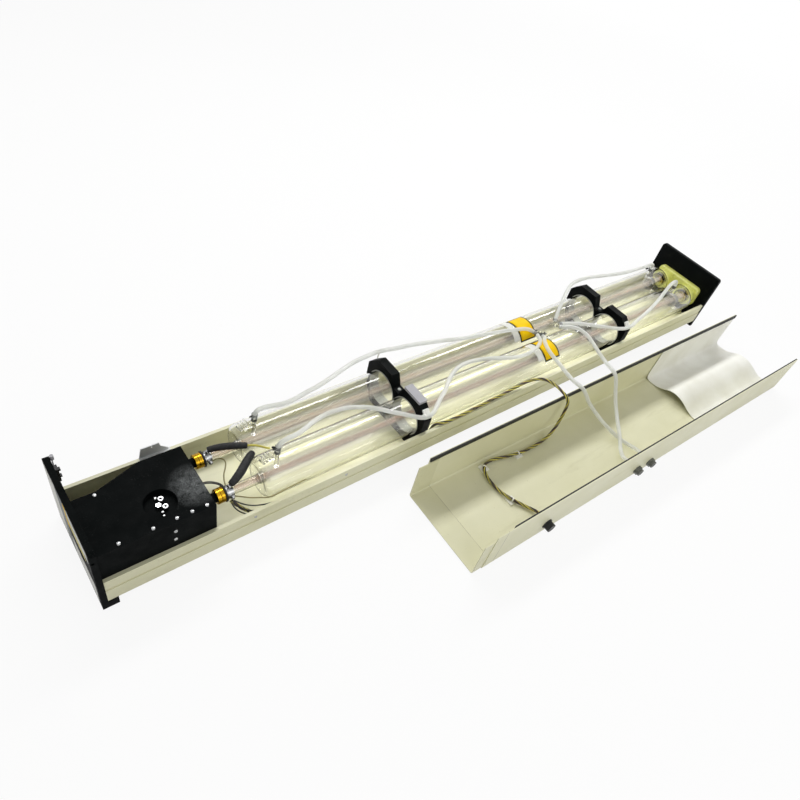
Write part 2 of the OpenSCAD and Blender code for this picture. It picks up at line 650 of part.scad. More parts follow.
// ---- Folding block ----
module block_corner(y, z) {
    translate([tray_len, y, z]) rotate([0, -90, 0])
        rotate_extrude($fn = 32) polygon(concat([[0, 0], [12, 0]], arc([6, block_t - 6], 6, 0, 90, 5), [[0, block_t]]));
}

module fold_block() {
    color([0.68, 0.70, 0.36])
    difference() {
        union() {
            hull() for (y = [-block_half + 12, block_half - 12], z = [block_z0 + 12, block_z0 + block_h - 12]) block_corner(y, z);
            for (side = [-1, 1])
                translate([boss_x0, side * tube_y, tube_z]) rotate([0, 90, 0])
                    rotate_extrude($fn = 96) polygon([[0, 2], [rear_neck_r, 2], [rear_neck_r, 0], [boss_r - 2, 0], [boss_r, 2],
                        [boss_r, boss_len - 2], [0, boss_len - 2]]);
        }
        for (side = [-1, 1]) rod_x(boss_x0 - cut, side * tube_y, tube_z, rear_neck_r + fit_gap, rear_neck_x1 - boss_x0 + cut);
    }
}

module fold_mirrors() {
    color([0.8, 0.75, 0.6])
    for (side = [-1, 1]) rod_x(rear_neck_x1 - 4, side * tube_y, tube_z, rear_neck_r - jacket_wall - fit_gap, 4);
}

// ---- Catch and switches ----
module cover_catch() {
    color([0.72, 0.73, 0.74])
    union() {
        translate([0, half_w - 2, 0]) rotate([90, 0, 0]) linear_extrude(2)
            polygon([[131, wall_top], [186, wall_top], [182, wall_top + 5], [170, wall_top + 16], [168, wall_top + 25],
                [155, wall_top + 25], [155, wall_top + 18], [154, wall_top + 18], [154, wall_top + 25], [136, wall_top + 25]]);
        translate([131, lip_in, wall_top]) cube([55, half_w - 2 - lip_in - 2 + 2, 1.5]);
        for (x = [142, 170]) translate([x, lip_in - 1.5, wall_top - 8]) cube([6, 1.5, 9.5]);
    }
}

module interlock_switch() {
    color([0.05, 0.05, 0.05])
    union() {
        translate([0, half_w - 12, 104]) cube([7, 12, 30]);
        translate([7, half_w - 9, 126]) cube([3, 6, 4]);
        translate([7, half_w - 9, 110]) cube([3, 6, 3]);
    }
}

module interlock_lever() {
    color([0.55, 0.55, 0.56])
    union() {
        translate([2, half_w - 10, 134]) cube([1.2, 8, 22]);
        translate([3.2, half_w - 6, 156]) cylinder(r = 3, h = 9, $fn = 32);
    }
}

module rear_switch() {
    color([0.05, 0.05, 0.05])
    union() {
        translate([tray_len - 9, half_w - 14, 76]) cube([9, 12, 14]);
        translate([tray_len - 24, half_w - 10, 79]) cube([15, 4, 4]);
        translate([tray_len - 24, half_w - 8, 81]) rotate([-90, 0, 0]) cylinder(r = 3.6, h = 14, $fn = 32);
    }
}

// ---- Leads and wires ----
module far_sleeve() { color([0.05, 0.05, 0.06]) swept(FAR_SLEEVE_ROUTE, sleeve_d, 12); }
module near_sleeve() { color([0.05, 0.05, 0.06]) swept(NEAR_SLEEVE_ROUTE, sleeve_d, 12); }

module lead_wires() {
    color([0.85, 0.8, 0.2]) {
        swept(YELLOW_LEAD, 4, 8);
        swept(TERMINAL_LEAD, 2.4, 8);
        swept(SIDE_LEAD, 2.4, 8);
    }
    color([0.1, 0.1, 0.1])
    for (k = [0, 1]) swept([for (p = BOX_LEAD) p + k * [0, 0, -4]], 2.2, 8);
}

// ---- Hoses ----
module hose(route) { color([0.86, 0.87, 0.86]) swept(route, hose_d, 8); }
module hose_far_front() { hose(FAR_FRONT_ROUTE); }
module hose_near_front() { hose(NEAR_FRONT_ROUTE); }
module hose_far_rear() { hose(FAR_REAR_ROUTE); }
module hose_near_rear() { hose(NEAR_REAR_ROUTE); }
module hose_inlet() { hose(INLET_ROUTE); }
module hose_outlet() { hose(OUTLET_ROUTE); }

// A branch piece with a stub towards the first point of each hose it joins
module tee(c, ends) {
    translate(c) sphere(r = 5.2, $fn = 48);
    for (i = [0:2])
        let (d = ends[i] - c, n = norm(d))
            translate(c) rotate([0, acos(d[2] / n), atan2(d[1], d[0])])
                cylinder(r = 3.6 - 0.15 * i, h = n - 0.6, $fn = 32);
}

module hose_tees() {
    color([0.9, 0.9, 0.88]) {
        tee([1063, 1, 113], [last(FAR_FRONT_ROUTE), last(NEAR_FRONT_ROUTE), INLET_ROUTE[0]]);
        tee([1122, 5, 113], [FAR_REAR_ROUTE[0], NEAR_REAR_ROUTE[0], OUTLET_ROUTE[0]]);
    }
}

module hose_clips() {
    color([0.45, 0.45, 0.42])
    at_nipples()
        translate([0, 0, nipple_h - 8])
            difference() {
                cylinder(r = nipple_r + 1.6, h = 6, $fn = 32);
                translate([0, 0, -cut]) cylinder(r = nipple_r + fit_gap, h = 6 + 2 * cut, $fn = 32);
            }
}

module harness() { color([0.6, 0.55, 0.2]) swept(HARNESS_ROUTE, harness_d, 8); }

// ---- Cover, in its own directions: X along, Y from the near wall to the far wall ----
function channel(y0, y1, z0, h, t, bend) = concat(
    [[y0, z0 + h]], arc([y0 + bend, z0 + bend], bend, 180, 270, 5), arc([y1 - bend, z0 + bend], bend, 270, 360, 5),
    [[y1, z0 + h], [y1 - t, z0 + h]], arc([y1 - bend, z0 + bend], bend - t, 360, 270, 5),
    arc([y0 + bend, z0 + bend], bend - t, 270, 180, 5), [[y0 + t, z0 + h]]);

module port_holes(grow) {
    for (u = port_u) translate([u, -cut, port_z]) rotate([-90, 0, 0]) cylinder(r = 7 + grow, h = cover_sheet + 2 * cut, $fn = 48);
    translate([connector_u, -cut, connector_z]) rotate([-90, 0, 0]) cylinder(r = 8 + grow, h = cover_sheet + 2 * cut, $fn = 48);
}

module cover_shell() {
    color([0.82, 0.80, 0.68])
    at_cover()
        difference() {
            along_x(lap_out, cover_len - lap_out) polygon(channel(0, tray_w, 0, cover_h, cover_sheet, cover_bend));
            port_holes(fit_gap);
        }
}

module cover_lap_strip() {
    color([0.82, 0.80, 0.68])
    at_cover()
        along_x(0, lap_out + lap_in)
            polygon(channel(cover_sheet, tray_w - cover_sheet, cover_sheet, lap_h - cover_sheet, cover_sheet, cover_bend - cover_sheet));
}

module trim(x0, y) {
    color([0.04, 0.04, 0.04])
    at_cover() translate([x0, y, cover_h - trim_h]) cube([cover_len - x0, trim_t, trim_h]);
}

module cover_far_trim() { trim(lap_out, tray_w - cover_sheet - trim_t); }
module cover_near_trim() { trim(lap_out + lap_in + 20, cover_sheet); }

liner_edge = tray_w - cover_sheet - 1.2;
liner_low = cover_sheet + sheet_t + 0.3;
liner_top = [[liner_edge, cover_h - trim_h - 0.5], [liner_edge, 18], [tray_w - 5, 8], [tray_w - 12, 3.4], [tray_w - 24, liner_low],
    [tray_w - 40, 4.5], [tray_w - 57, 11], [tray_w - 70, 18], [tray_w - 82, 22], [tray_w - 96, 22.5], [tray_w - 110, 20],
    [tray_w - 124, 14.5], [tray_w - 138, 8], [tray_w - 154, liner_low + 0.4], [tray_w - 170, liner_low]];

module cover_liner() {
    color([0.93, 0.93, 0.92])
    at_cover()
        along_x(792, cover_len - 792 - 4)
            polygon(concat(liner_top, [for (i = [len(liner_top) - 1:-1:0])
                liner_top[i] + sheet_t * edge_normal(liner_top, i)]));
}

function edge_normal(p, i) = let (t = unit(p[min(i + 1, len(p) - 1)] - p[max(i - 1, 0)])) [t[1], -t[0]];

module water_fittings() {
    color([0.5, 0.5, 0.42])
    at_cover()
        for (u = port_u)
            translate([u, 0, port_z]) rotate([-90, 0, 0])
                difference() {
                    union() {
                        translate([0, 0, -13]) cylinder(r = 8.5, h = 5);
                        translate([0, 0, -8]) cylinder(r = 11, h = 8, $fn = 6);
                        cylinder(r = 7, h = cover_sheet);
                        translate([0, 0, cover_sheet]) cylinder(r = 10, h = 4, $fn = 6);
                        translate([0, 0, cover_sheet + 4]) cylinder(r = 5, h = 4);
                    }
                    translate([0, 0, -13 - cut]) cylinder(r = port_r, h = port_depth + cut);
                }
}

module panel_connector() {
    color([0.03, 0.03, 0.03])
    at_cover()
        translate([connector_u, 0, connector_z]) rotate([-90, 0, 0]) {
            translate([0, 0, -14]) cylinder(r = 10, h = 11.5);
            translate([0, 0, -2.5]) cylinder(r = 12, h = 2.5);
            cylinder(r = 8, h = cover_sheet);
            translate([0, 0, cover_sheet]) cylinder(r = 9.5, h = 4);
            translate([0, 0, cover_sheet + 4]) cylinder(r = 4, h = 3.4);
        }
}

module tie_mounts() {
    color([0.85, 0.85, 0.78])
    at_cover()
        for (p = [[280, tray_w - 30], [185, tray_w - 22], [182, tray_w - 114]])
            translate([p[0] - 9, p[1] - 9, cover_sheet]) cube([18, 18, 3]);
}

base_tray();
front_plate();
rear_plate();
front_foot();
wall_screws();
head_box_body();
head_box_front_lid();
head_box_rear_lid();
adjuster_well();
adjuster_nuts();
adjuster_knob();
adjuster_screws();
box_screws();
mirror_necks();
near_brass_coupling();
far_brass_coupling();
coupling_seals();
terminal_clamps();
near_jacket();
far_jacket();
water_nipples();
near_water_tube();
far_water_tube();
near_bore_tube();
far_bore_tube();
cathodes();
anodes();
front_clamp_base();
front_clamp_cap();
rear_clamp_base();
rear_clamp_cap();
clamp_liners();
clamp_pad();
clamp_screws();
fold_block();
fold_mirrors();
cover_catch();
interlock_switch();
interlock_lever();
rear_switch();
far_sleeve();
near_sleeve();
lead_wires();
hose_far_front();
hose_near_front();
hose_far_rear();
hose_near_rear();
hose_inlet();
hose_outlet();
hose_tees();
hose_clips();
harness();
cover_shell();
cover_lap_strip();
cover_far_trim();
cover_near_trim();
cover_liner();
water_fittings();
panel_connector();
tie_mounts();
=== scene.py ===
"""Finish, detail pieces, light and camera for the twin-tube CO2 laser module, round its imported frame.
Everything is in metres, in the frame's own axes; the route points below are written in millimetres."""

import math

import bpy
from mathutils import Matrix, Vector, noise


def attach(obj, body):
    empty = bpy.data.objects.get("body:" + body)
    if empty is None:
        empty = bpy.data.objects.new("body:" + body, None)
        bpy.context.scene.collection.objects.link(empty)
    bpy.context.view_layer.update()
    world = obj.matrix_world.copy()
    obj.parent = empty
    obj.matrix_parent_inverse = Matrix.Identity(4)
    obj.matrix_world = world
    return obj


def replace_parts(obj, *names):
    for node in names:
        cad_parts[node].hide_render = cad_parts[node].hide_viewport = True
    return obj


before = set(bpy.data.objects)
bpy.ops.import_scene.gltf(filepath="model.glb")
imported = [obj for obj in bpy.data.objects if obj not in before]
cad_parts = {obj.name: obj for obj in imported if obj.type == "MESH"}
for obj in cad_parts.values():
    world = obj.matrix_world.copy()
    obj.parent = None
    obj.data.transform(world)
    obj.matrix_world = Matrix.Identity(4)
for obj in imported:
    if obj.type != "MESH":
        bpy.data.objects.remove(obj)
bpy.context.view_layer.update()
MM = 0.001

# ---------------------------------------------------------------- camera
cam_data = bpy.data.cameras.new("photo_camera")
cam = bpy.data.objects.new("photo_camera", cam_data)
bpy.context.scene.collection.objects.link(cam)
az, el, roll = (math.radians(v) for v in (-48.62, 45.14, 16.19))
forward = Vector((-math.sin(az) * math.cos(el), math.cos(az) * math.cos(el), -math.sin(el)))
level = Vector((math.cos(az), math.sin(az), 0))
upright = level.cross(forward)
right = math.cos(roll) * level + math.sin(roll) * upright
up = -math.sin(roll) * level + math.cos(roll) * upright
pose = Matrix((right, up, -forward)).transposed().to_4x4()
pose.translation = Vector((-0.0658, -0.6251, 1.0192))
cam.matrix_world = pose
cam_data.sensor_width, cam_data.lens = 36, 28.57
cam_data.shift_x, cam_data.shift_y = -0.00075, 0.0029
cam_data.clip_start, cam_data.clip_end = 0.01, 100
bpy.context.scene.camera = cam

# ---------------------------------------------------------------- routes, in millimetres
FAR_FRONT_ROUTE = [
    (322, 42, 144), (322, 42, 148), (323.5, 42, 154), (328, 42, 159), (335, 41.5, 161), (344, 41, 161), (358,
    39, 160), (378, 37, 158), (402, 38, 158), (425, 41, 160), (450, 44, 161), (476, 49, 162), (516, 60, 162),
    (556, 71, 160), (590, 76, 158), (614, 78, 157), (638, 75, 158), (662, 70, 158), (696, 65, 158), (730, 59,
    156), (782, 50, 152), (834, 42, 146), (882, 38, 140), (928, 34, 135), (970, 30, 130), (1002, 26, 125.5),
    (1024, 22, 122.8), (1038, 17, 119.4), (1047, 11, 115.5), (1053.5, 6.5, 114),
]
NEAR_FRONT_ROUTE = [
    (322, -42, 144), (322, -42, 148), (323.5, -42, 154), (328, -41.5, 159), (335, -41, 161), (344, -39, 160),
    (356, -36, 156), (370, -31, 151), (387, -24, 146), (408, -15, 142), (428, -8, 138), (448, -3, 134), (473,
    -1, 130), (498, -4, 128), (518, -12, 127.5), (536, -22, 127.5), (552, -35, 127.5), (566, -48, 127), (582,
    -62, 127), (596, -74, 126), (608, -85, 126), (618, -92, 127), (629, -94, 127), (640, -92, 127.5), (652,
    -86, 127.5), (666, -77, 127.5), (684, -66, 128), (705, -54, 128), (722, -42, 128), (736, -32, 128), (760,
    -19, 127), (787, -10, 126), (810, -9, 126), (832, -12, 126), (854, -18, 126.5), (876, -26, 127), (900,
    -37, 127.5), (924, -45, 127), (950, -49, 127), (977, -48, 127), (996, -44, 127), (1012, -38, 126.5),
    (1025, -30, 125.5), (1035, -20, 122), (1042, -10, 118.5), (1047, -4.5, 116.5), (1052.5, -2, 115),
]
FAR_REAR_ROUTE = [
    (1130, 13, 116), (1134, 17, 118.5), (1139.5, 21.5, 124), (1147, 27, 130), (1160, 35, 139), (1178, 46,
    150), (1198, 57, 158), (1222, 67, 164), (1247, 71, 166), (1288, 71, 165), (1328, 67, 162), (1378, 60,
    158), (1427, 53, 156), (1478, 47, 157), (1516, 43.5, 160), (1538, 42, 161), (1547, 42, 161), (1554, 42,
    158.5), (1558.5, 42, 154), (1560, 42, 148), (1560, 42, 144),
]
NEAR_REAR_ROUTE = [
    (1133, 3, 115), (1138, 1.5, 116), (1146, -3.5, 118), (1158, -11, 120.5), (1171, -21, 123.5), (1184, -33,
    126.5), (1198, -44, 127.5), (1214, -55, 127), (1234, -67, 126), (1252, -78, 125), (1268, -87, 125), (1280,
    -92, 126), (1294, -94, 127), (1308, -93, 127), (1330, -88, 127), (1370, -80, 127), (1420, -70, 130),
    (1470, -58, 139), (1506, -48, 151), (1528, -43, 159), (1540, -42, 161), (1549, -42, 160.5), (1555, -42,
    157.5), (1559, -42, 152), (1560, -42, 148), (1560, -42, 144),
]
INLET_ROUTE = [
    (1058, -9, 116), (1055, -14, 118), (1048, -21, 124), (1040, -28, 129), (1030, -36, 132), (1022, -48, 132),
    (1017, -62, 130), (1015, -77, 127), (1015, -92, 124), (1015, -108, 121), (1014, -124, 118), (1013, -140,
    116), (1012, -156, 115), (1012, -168, 115.5), (1014, -177, 114.5), (1017, -185, 111), (1021, -191, 104),
    (1027, -196, 94), (1036, -202, 79), (1048, -213, 62), (1060, -228, 46), (1071, -245, 32), (1080, -262,
    22), (1088, -278, 14), (1095, -294, 9), (1100, -310, 8), (1101, -324, 11), (1097, -337, 17), (1090, -347,
    23.5), (1086.5, -356, 26), (1086.5, -366.5, 26),
]
OUTLET_ROUTE = [
    (1127, -5, 116), (1129.5, -10, 117.5), (1134.5, -17, 121.5), (1142, -26, 126), (1150, -38, 128.5), (1155,
    -54, 128.5), (1155, -72, 127.5), (1151, -90, 125), (1147, -108, 122), (1143, -126, 119), (1139, -144,
    116.5), (1136, -160, 115.5), (1134, -172, 115.5), (1133, -181, 113.5), (1132, -189, 109), (1131, -196,
    101), (1129, -204, 89), (1126, -215, 73), (1122, -228, 57), (1117, -242, 44), (1110, -257, 33), (1101,
    -272, 26), (1090, -287, 21), (1078, -301, 16.5), (1066, -314, 13), (1054, -327, 14), (1045, -338, 19),
    (1040, -348, 24), (1038, -357, 26), (1038.5, -365.5, 26),
]
HARNESS_ROUTE = [
    (229, -55, 72), (237, -62, 62), (248, -71, 52), (262, -81, 46), (280, -88, 43), (302, -91.5, 41), (340,
    -92, 40), (380, -92, 40), (420, -92, 40), (460, -92, 40), (500, -92, 40), (540, -92, 40), (580, -92, 40),
    (608, -92, 40), (628, -91, 40), (642, -89, 43), (651, -87.5, 51), (657, -87.5, 61), (662, -87, 71), (668,
    -88.5, 78), (680, -93, 79.5), (704, -95.5, 79.5), (735, -95, 79.5), (767, -94, 79.5), (800, -93, 79.5),
    (834, -92, 79.5), (870, -91, 80), (904, -91, 83), (928, -93, 88), (948, -99, 94), (960, -110, 101), (965,
    -124, 106), (965, -140, 110), (963, -154, 113), (961, -165, 114), (960, -174, 114), (961, -182, 111),
    (963, -188, 104), (965, -191, 94), (966, -192, 81), (966, -193, 66), (962, -195, 48), (953, -198, 31),
    (939, -201, 17), (918, -203, 9), (894, -204, 7), (864, -204, 7.5), (845, -203, 8.5), (826, -200, 8.5),
    (806, -195, 7), (784, -189, 6.5), (764, -186, 7), (748, -188, 8.5), (737, -196, 8.5), (730, -210, 7.5),
    (727, -228, 6.5), (727, -246, 6.5), (729, -262, 7.5), (733, -277, 8.5), (739, -291, 8.5), (748, -306, 7),
    (756, -320, 7), (760, -333, 10), (757, -342, 17), (751, -346.5, 24), (745, -350, 29.5), (741, -355, 32),
    (740.5, -361, 32),
]
FAR_SLEEVE_ROUTE = [
    (232, 41.5, 103), (246, 36, 107), (262, 28, 111), (278, 18, 114.5), (292, 9.5, 116.5),
]
YELLOW_LEAD = [
    (292.4, 9, 116.7), (298, 6, 117.5), (306, 1, 117.5), (313, -5, 117), (319, -10, 116), (324, -14, 115.6),
]
TERMINAL_LEAD = [
    (236, 29.5, 83), (243, 27, 88), (250, 21, 90), (252, 13, 89), (248, 5, 86), (241, -4, 83), (236, -14, 82),
    (233, -23, 82), (232, -29, 82),
]
SIDE_LEAD = [
    (236, -54.5, 81), (246, -60, 79), (258, -68, 78), (272, -75, 77), (288, -82.5, 77), (304, -83.8, 79),
    (320, -84, 81), (340, -84, 83), (360, -84, 84),
]
BOX_LEAD = [
    (185.5, -8, 80), (191, -8, 84), (200, -9, 88), (210, -13, 89), (218, -18, 88), (224, -23, 86), (227.5,
    -28.2, 84),
]
NEAR_SLEEVE_ROUTE = [
    (233, -44, 103), (244, -40, 107), (257, -33, 110), (270, -23, 111), (284, -12, 111), (295, -5, 111),
]
LOOSE_LEADS = (
    [(231, -58, 70), (238, -68, 64), (249, -79, 60), (264, -87, 60), (284, -91, 62), (306, -92.6, 62),
     (332, -92.6, 57), (356, -92.4, 49), (376, -92, 43)],
    [(228, -56, 71), (232, -67, 61), (242, -79, 55), (258, -87.5, 53), (280, -91.5, 54), (308, -93, 54),
     (334, -93, 49), (352, -92.4, 43.4)],
    [(233, -57, 73), (243, -67, 69), (256, -77, 67), (272, -85, 68), (292, -90.5, 69), (318, -91.6, 67),
     (348, -91.8, 58), (376, -91.6, 48), (396, -91.6, 43)],
)

# the glass jackets' axes and radius, in millimetres
TUBE_Y, TUBE_Z, JACKET_R = 42, 82, 40

# the cover's own corner in metres, and its direction
COVER_AT = (0.5525, -0.3668)
COVER_ALONG = (math.cos(math.radians(-1)), math.sin(math.radians(-1)))


def cover_point(u, v, z):
    """A point given in millimetres along, across and above the cover's corner."""
    return Vector((COVER_AT[0] * 1000 + u * COVER_ALONG[0] - v * COVER_ALONG[1],
                   COVER_AT[1] * 1000 + u * COVER_ALONG[1] + v * COVER_ALONG[0], z)) * MM


# ---------------------------------------------------------------- materials
def srgb(r, g, b, a=1.0):
    lin = [c / 12.92 if c <= 0.04045 else ((c + 0.055) / 1.055) ** 2.4 for c in (r / 255, g / 255, b / 255)]
    return (*lin, a)


class Mat:
    """A node material: a Principled shader and short helpers for what feeds it."""

    # where a Mix node keeps its colour sockets
    MIX_A, MIX_B, MIX_RESULT = 6, 7, 2

    def __init__(self, name, base, rough=0.5, metallic=0.0, **more):
        self.m = bpy.data.materials.new(name)
        self.m.use_nodes = True
        self.nt = self.m.node_tree
        self.nt.nodes.clear()
        self.p = self.nt.nodes.new("ShaderNodeBsdfPrincipled")
        self.out = self.nt.nodes.new("ShaderNodeOutputMaterial")
        self.nt.links.new(self.p.outputs[0], self.out.inputs[0])
        self.pos = self.nt.nodes.new("ShaderNodeTexCoord").outputs["Object"]
        self.p.inputs["Base Color"].default_value = base
        self.p.inputs["Roughness"].default_value = rough
        self.p.inputs["Metallic"].default_value = metallic
        for key, value in more.items():
            self.p.inputs[key.replace("_", " ")].default_value = value

    def node(self, kind, **values):
        n = self.nt.nodes.new("ShaderNode" + kind)
        for key, value in values.items():
            setattr(n, key, value)
        return n

    def feed(self, socket, value):
        if isinstance(value, bpy.types.NodeSocket):
            self.nt.links.new(value, socket)
        else:
            socket.default_value = value

    def place(self, scale, shift):
        n = self.node("Mapping")
        self.nt.links.new(self.pos, n.inputs["Vector"])
        n.inputs["Scale"].default_value = scale
        n.inputs["Location"].default_value = shift
        return n.outputs["Vector"]

    def noise(self, scale, detail=3.0, rough=0.55, stretch=None, shift=(0, 0, 0)):
        n = self.node("TexNoise")
        where = self.place(stretch or (1, 1, 1), shift) if stretch or any(shift) else self.pos
        self.nt.links.new(where, n.inputs["Vector"])
        n.inputs["Scale"].default_value = scale
        n.inputs["Detail"].default_value = detail
        n.inputs["Roughness"].default_value = rough
        return n.outputs["Fac"]

    def band(self, value, lo, hi, out_lo=0.0, out_hi=1.0):
        n = self.node("MapRange")
        self.nt.links.new(value, n.inputs["Value"])
        for key, v in (("From Min", lo), ("From Max", hi), ("To Min", out_lo), ("To Max", out_hi)):
            n.inputs[key].default_value = v
        return n.outputs["Result"]

    def calc(self, op, a, b=None):
        n = self.node("Math", operation=op)
        for socket, v in zip(n.inputs, (a, b)):
            if v is not None:
                self.feed(socket, v)
        return n.outputs[0]

    def mix(self, fac, a, b):
        n = self.node("Mix", data_type="RGBA", blend_type="MIX")
        self.feed(n.inputs["Factor"], fac)
        self.feed(n.inputs[self.MIX_A], a)
        self.feed(n.inputs[self.MIX_B], b)
        return n.outputs[self.MIX_RESULT]

    def near(self, centre, radius, soft):
        """1 within radius of a point, falling to 0 over soft."""
        n = self.node("VectorMath", operation="DISTANCE")
        self.nt.links.new(self.pos, n.inputs[0])
        n.inputs[1].default_value = centre
        return self.band(n.outputs["Value"], radius + soft, radius)

    def colour(self, value):
        self.nt.links.new(value, self.p.inputs["Base Color"])
        return self

    def roughness(self, value):
        self.nt.links.new(value, self.p.inputs["Roughness"])
        return self

    def bump(self, height, distance, strength=1.0):
        n = self.node("Bump")
        self.nt.links.new(height, n.inputs["Height"])
        n.inputs["Distance"].default_value = distance
        n.inputs["Strength"].default_value = strength
        self.nt.links.new(n.outputs[0], self.p.inputs["Normal"])
        return self

    def let_lamps_through(self, tint):
        """Glass casts no black shadow: a lamp's ray goes through it as through a clear sheet."""
        path = self.node("LightPath")
        clear = self.node("BsdfTransparent")
        clear.inputs[0].default_value = tint
        n = self.node("MixShader")
        self.nt.links.new(path.outputs["Is Shadow Ray"], n.inputs[0])
        self.nt.links.new(self.p.outputs[0], n.inputs[1])
        self.nt.links.new(clear.outputs[0], n.inputs[2])
        self.nt.links.new(n.outputs[0], self.out.inputs[0])
        return self


def enamel(name, light, dark, mark_tone, seed, seam=None):
    """Powder coat: slow drift of tone, fine orange peel, darker lengthways streaks and fine darker specks.

    seam is how far along the cover a worn line crosses it, in metres.
    """
    m = Mat(name, light, 0.42)
    drift = m.band(m.noise(4.5, 4, 0.6, shift=(seed, 0, 0)), 0.35, 0.68)
    base = m.mix(drift, light, dark)
    # darker lengthways streaks from stretched noise, over every cream surface
    streak = m.band(m.noise(9, 5, 0.65, stretch=(0.35, 2.2, 1.2), shift=(0, seed, 0)), 0.57, 0.76)
    base = m.mix(m.calc("MULTIPLY", streak, 0.45), base, mark_tone)
    fleck = m.band(m.noise(210, 2, 0.5, shift=(0, 0, seed)), 0.70, 0.76)
    base = m.mix(m.calc("MULTIPLY", fleck, 0.35), base, mark_tone)
    if seam:
        n = m.node("VectorMath", operation="DOT_PRODUCT")
        m.nt.links.new(m.pos, n.inputs[0])
        n.inputs[1].default_value = (COVER_ALONG[0], COVER_ALONG[1], 0)
        start = COVER_AT[0] * COVER_ALONG[0] + COVER_AT[1] * COVER_ALONG[1]
        off = m.calc("ABSOLUTE", m.calc("SUBTRACT", m.calc("SUBTRACT", n.outputs["Value"], start), seam))
        line = m.calc("MULTIPLY", m.band(off, 0.0009, 0.0003), m.band(m.noise(30, 3, shift=(2, 0, 0)), 0.32, 0.5))
        base = m.mix(m.calc("MULTIPLY", line, 0.75), base, srgb(96, 88, 58))
    m.colour(base)
    m.roughness(m.band(m.noise(22, 4), 0.3, 0.7, 0.36, 0.52))
    return m.bump(m.noise(420, 2), 0.00012, 0.5)


def black_coat(name, dusty=None, worn=0.12, shine=0.02):
    """Crinkled black enamel with a fine pale grain.

    dusty is the centre, radius and soft edge of a patch of dust.
    """
    m = Mat(name, srgb(6, 8, 8), 0.5, Specular_IOR_Level=shine)
    tone = m.mix(m.band(m.noise(14, 4), 0.3, 0.7), srgb(4, 6, 6), srgb(12, 15, 15))
    fleck = m.calc("MULTIPLY", m.band(m.noise(620, 2), 0.60, 0.72), m.band(m.noise(26, 4, 0.65), 0.46, 0.66))
    tone = m.mix(m.calc("MULTIPLY", fleck, worn), tone, srgb(126, 128, 126))
    if dusty:
        veil = m.calc("MULTIPLY", m.near(*dusty), m.band(m.noise(75, 6, 0.75), 0.42, 0.74))
        grit = m.calc("MULTIPLY", m.near(*dusty), m.band(m.noise(900, 2), 0.48, 0.66))
        dust = m.calc("ADD", veil, m.calc("MULTIPLY", grit, 1.8))
        tone = m.mix(m.calc("MULTIPLY", dust, 0.36), tone, srgb(186, 190, 190))
    m.colour(tone)
    m.roughness(m.band(m.noise(48, 4), 0.3, 0.7, 0.40, 0.62))
    return m.bump(m.noise(760, 3, 0.6), 0.00022, 0.8)


def metal(name, light, dark, rough=0.3, grain=(1, 1, 1), scale=160):
    m = Mat(name, light, rough, 1.0)
    m.colour(m.mix(m.band(m.noise(scale, 3, stretch=grain), 0.35, 0.7), light, dark))
    m.roughness(m.band(m.noise(scale * 0.6, 3, stretch=grain), 0.3, 0.7, rough - 0.08, rough + 0.14))
    return m.bump(m.noise(scale * 3, 2, stretch=grain), 0.00008, 0.5)


def rubber(name, base, pale, rough=0.62, scale=300, dusty=0.25):
    m = Mat(name, base, rough, Specular_IOR_Level=0.35)
    dust = m.calc("MULTIPLY", m.band(m.noise(scale * 0.3, 4, 0.7), 0.5, 0.75), dusty)
    m.colour(m.mix(dust, base, pale))
    m.roughness(m.band(m.noise(scale * 0.5, 3), 0.3, 0.7, rough - 0.08, rough + 0.12))
    return m.bump(m.noise(scale * 2, 3), 0.00015, 0.6)


BOROSILICATE_IOR = 1.474


def glass(name, tint, shade, lengthways=True):
    """Drawn borosilicate: clear, with faint lengthways striae and a breath of haze."""
    m = Mat(name, tint, 0.01, Transmission_Weight=1.0, IOR=BOROSILICATE_IOR)
    stretch = (0.12, 12, 12) if lengthways else (1, 1, 1)
    m.colour(m.mix(m.band(m.noise(16, 3, stretch=stretch), 0.45, 0.61), tint, shade))
    m.roughness(m.band(m.noise(24, 3, 0.6, stretch=stretch), 0.4, 0.9, 0.004, 0.03))
    return m.let_lamps_through((0.94, 0.94, 0.915, 1))


def thin_glass(name, light, streak, alpha):
    """A thin inner tube seen through the jacket: nearly clear, with fine lengthways lines and painted highlight:
    white lengthways streaks in place of lamp reflections.
    """
    m = Mat(name, light, 0.08, Alpha=alpha, Specular_IOR_Level=0.6)
    line = m.band(m.noise(16, 2, stretch=(0.02, 11, 11)), 0.54, 0.57)
    # pale is painted highlight: white lengthways streaks that stand in for reflections of the lamps along the tube
    pale = m.band(m.noise(16, 2, stretch=(0.02, 9, 9), shift=(1, 2, 3)), 0.56, 0.59)
    m.colour(m.mix(pale, m.mix(line, light, streak), (1, 1, 0.98, 1)))
    m.roughness(m.band(m.noise(24, 3, stretch=(0.1, 9, 9)), 0.3, 0.7, 0.05, 0.12))
    return m


CREAM = enamel("cream_enamel_mat", srgb(223, 221, 191), srgb(212, 210, 175), srgb(160, 154, 110), 0.0)
CREAM_COVER = enamel("cream_cover_mat", srgb(226, 224, 194), srgb(215, 213, 178), srgb(172, 167, 124), 3.7, 0.051)
BLACK = black_coat("black_enamel_mat")
BLACK_REAR_LID = black_coat("black_rear_lid_mat", ((0.173, -0.040, 0.141), 0.0, 0.046))
CLAMP = black_coat("black_clamp_mat", worn=0.08, shine=0.05)
OLIVE = Mat("olive_block_mat", srgb(176, 176, 112), 0.3, Subsurface_Weight=0.15,
            Subsurface_Radius=(0.004, 0.004, 0.002), Coat_Weight=0.25, Coat_Roughness=0.15)
OLIVE.colour(OLIVE.mix(OLIVE.band(OLIVE.noise(45, 4), 0.3, 0.7), srgb(228, 230, 132), srgb(206, 208, 104)))
OLIVE.roughness(OLIVE.band(OLIVE.noise(120, 3), 0.3, 0.7, 0.22, 0.4)).bump(OLIVE.noise(500, 2), 0.0001, 0.4)
BRIGHT = metal("bright_metal_mat", srgb(186, 187, 186), srgb(128, 130, 132), 0.2)
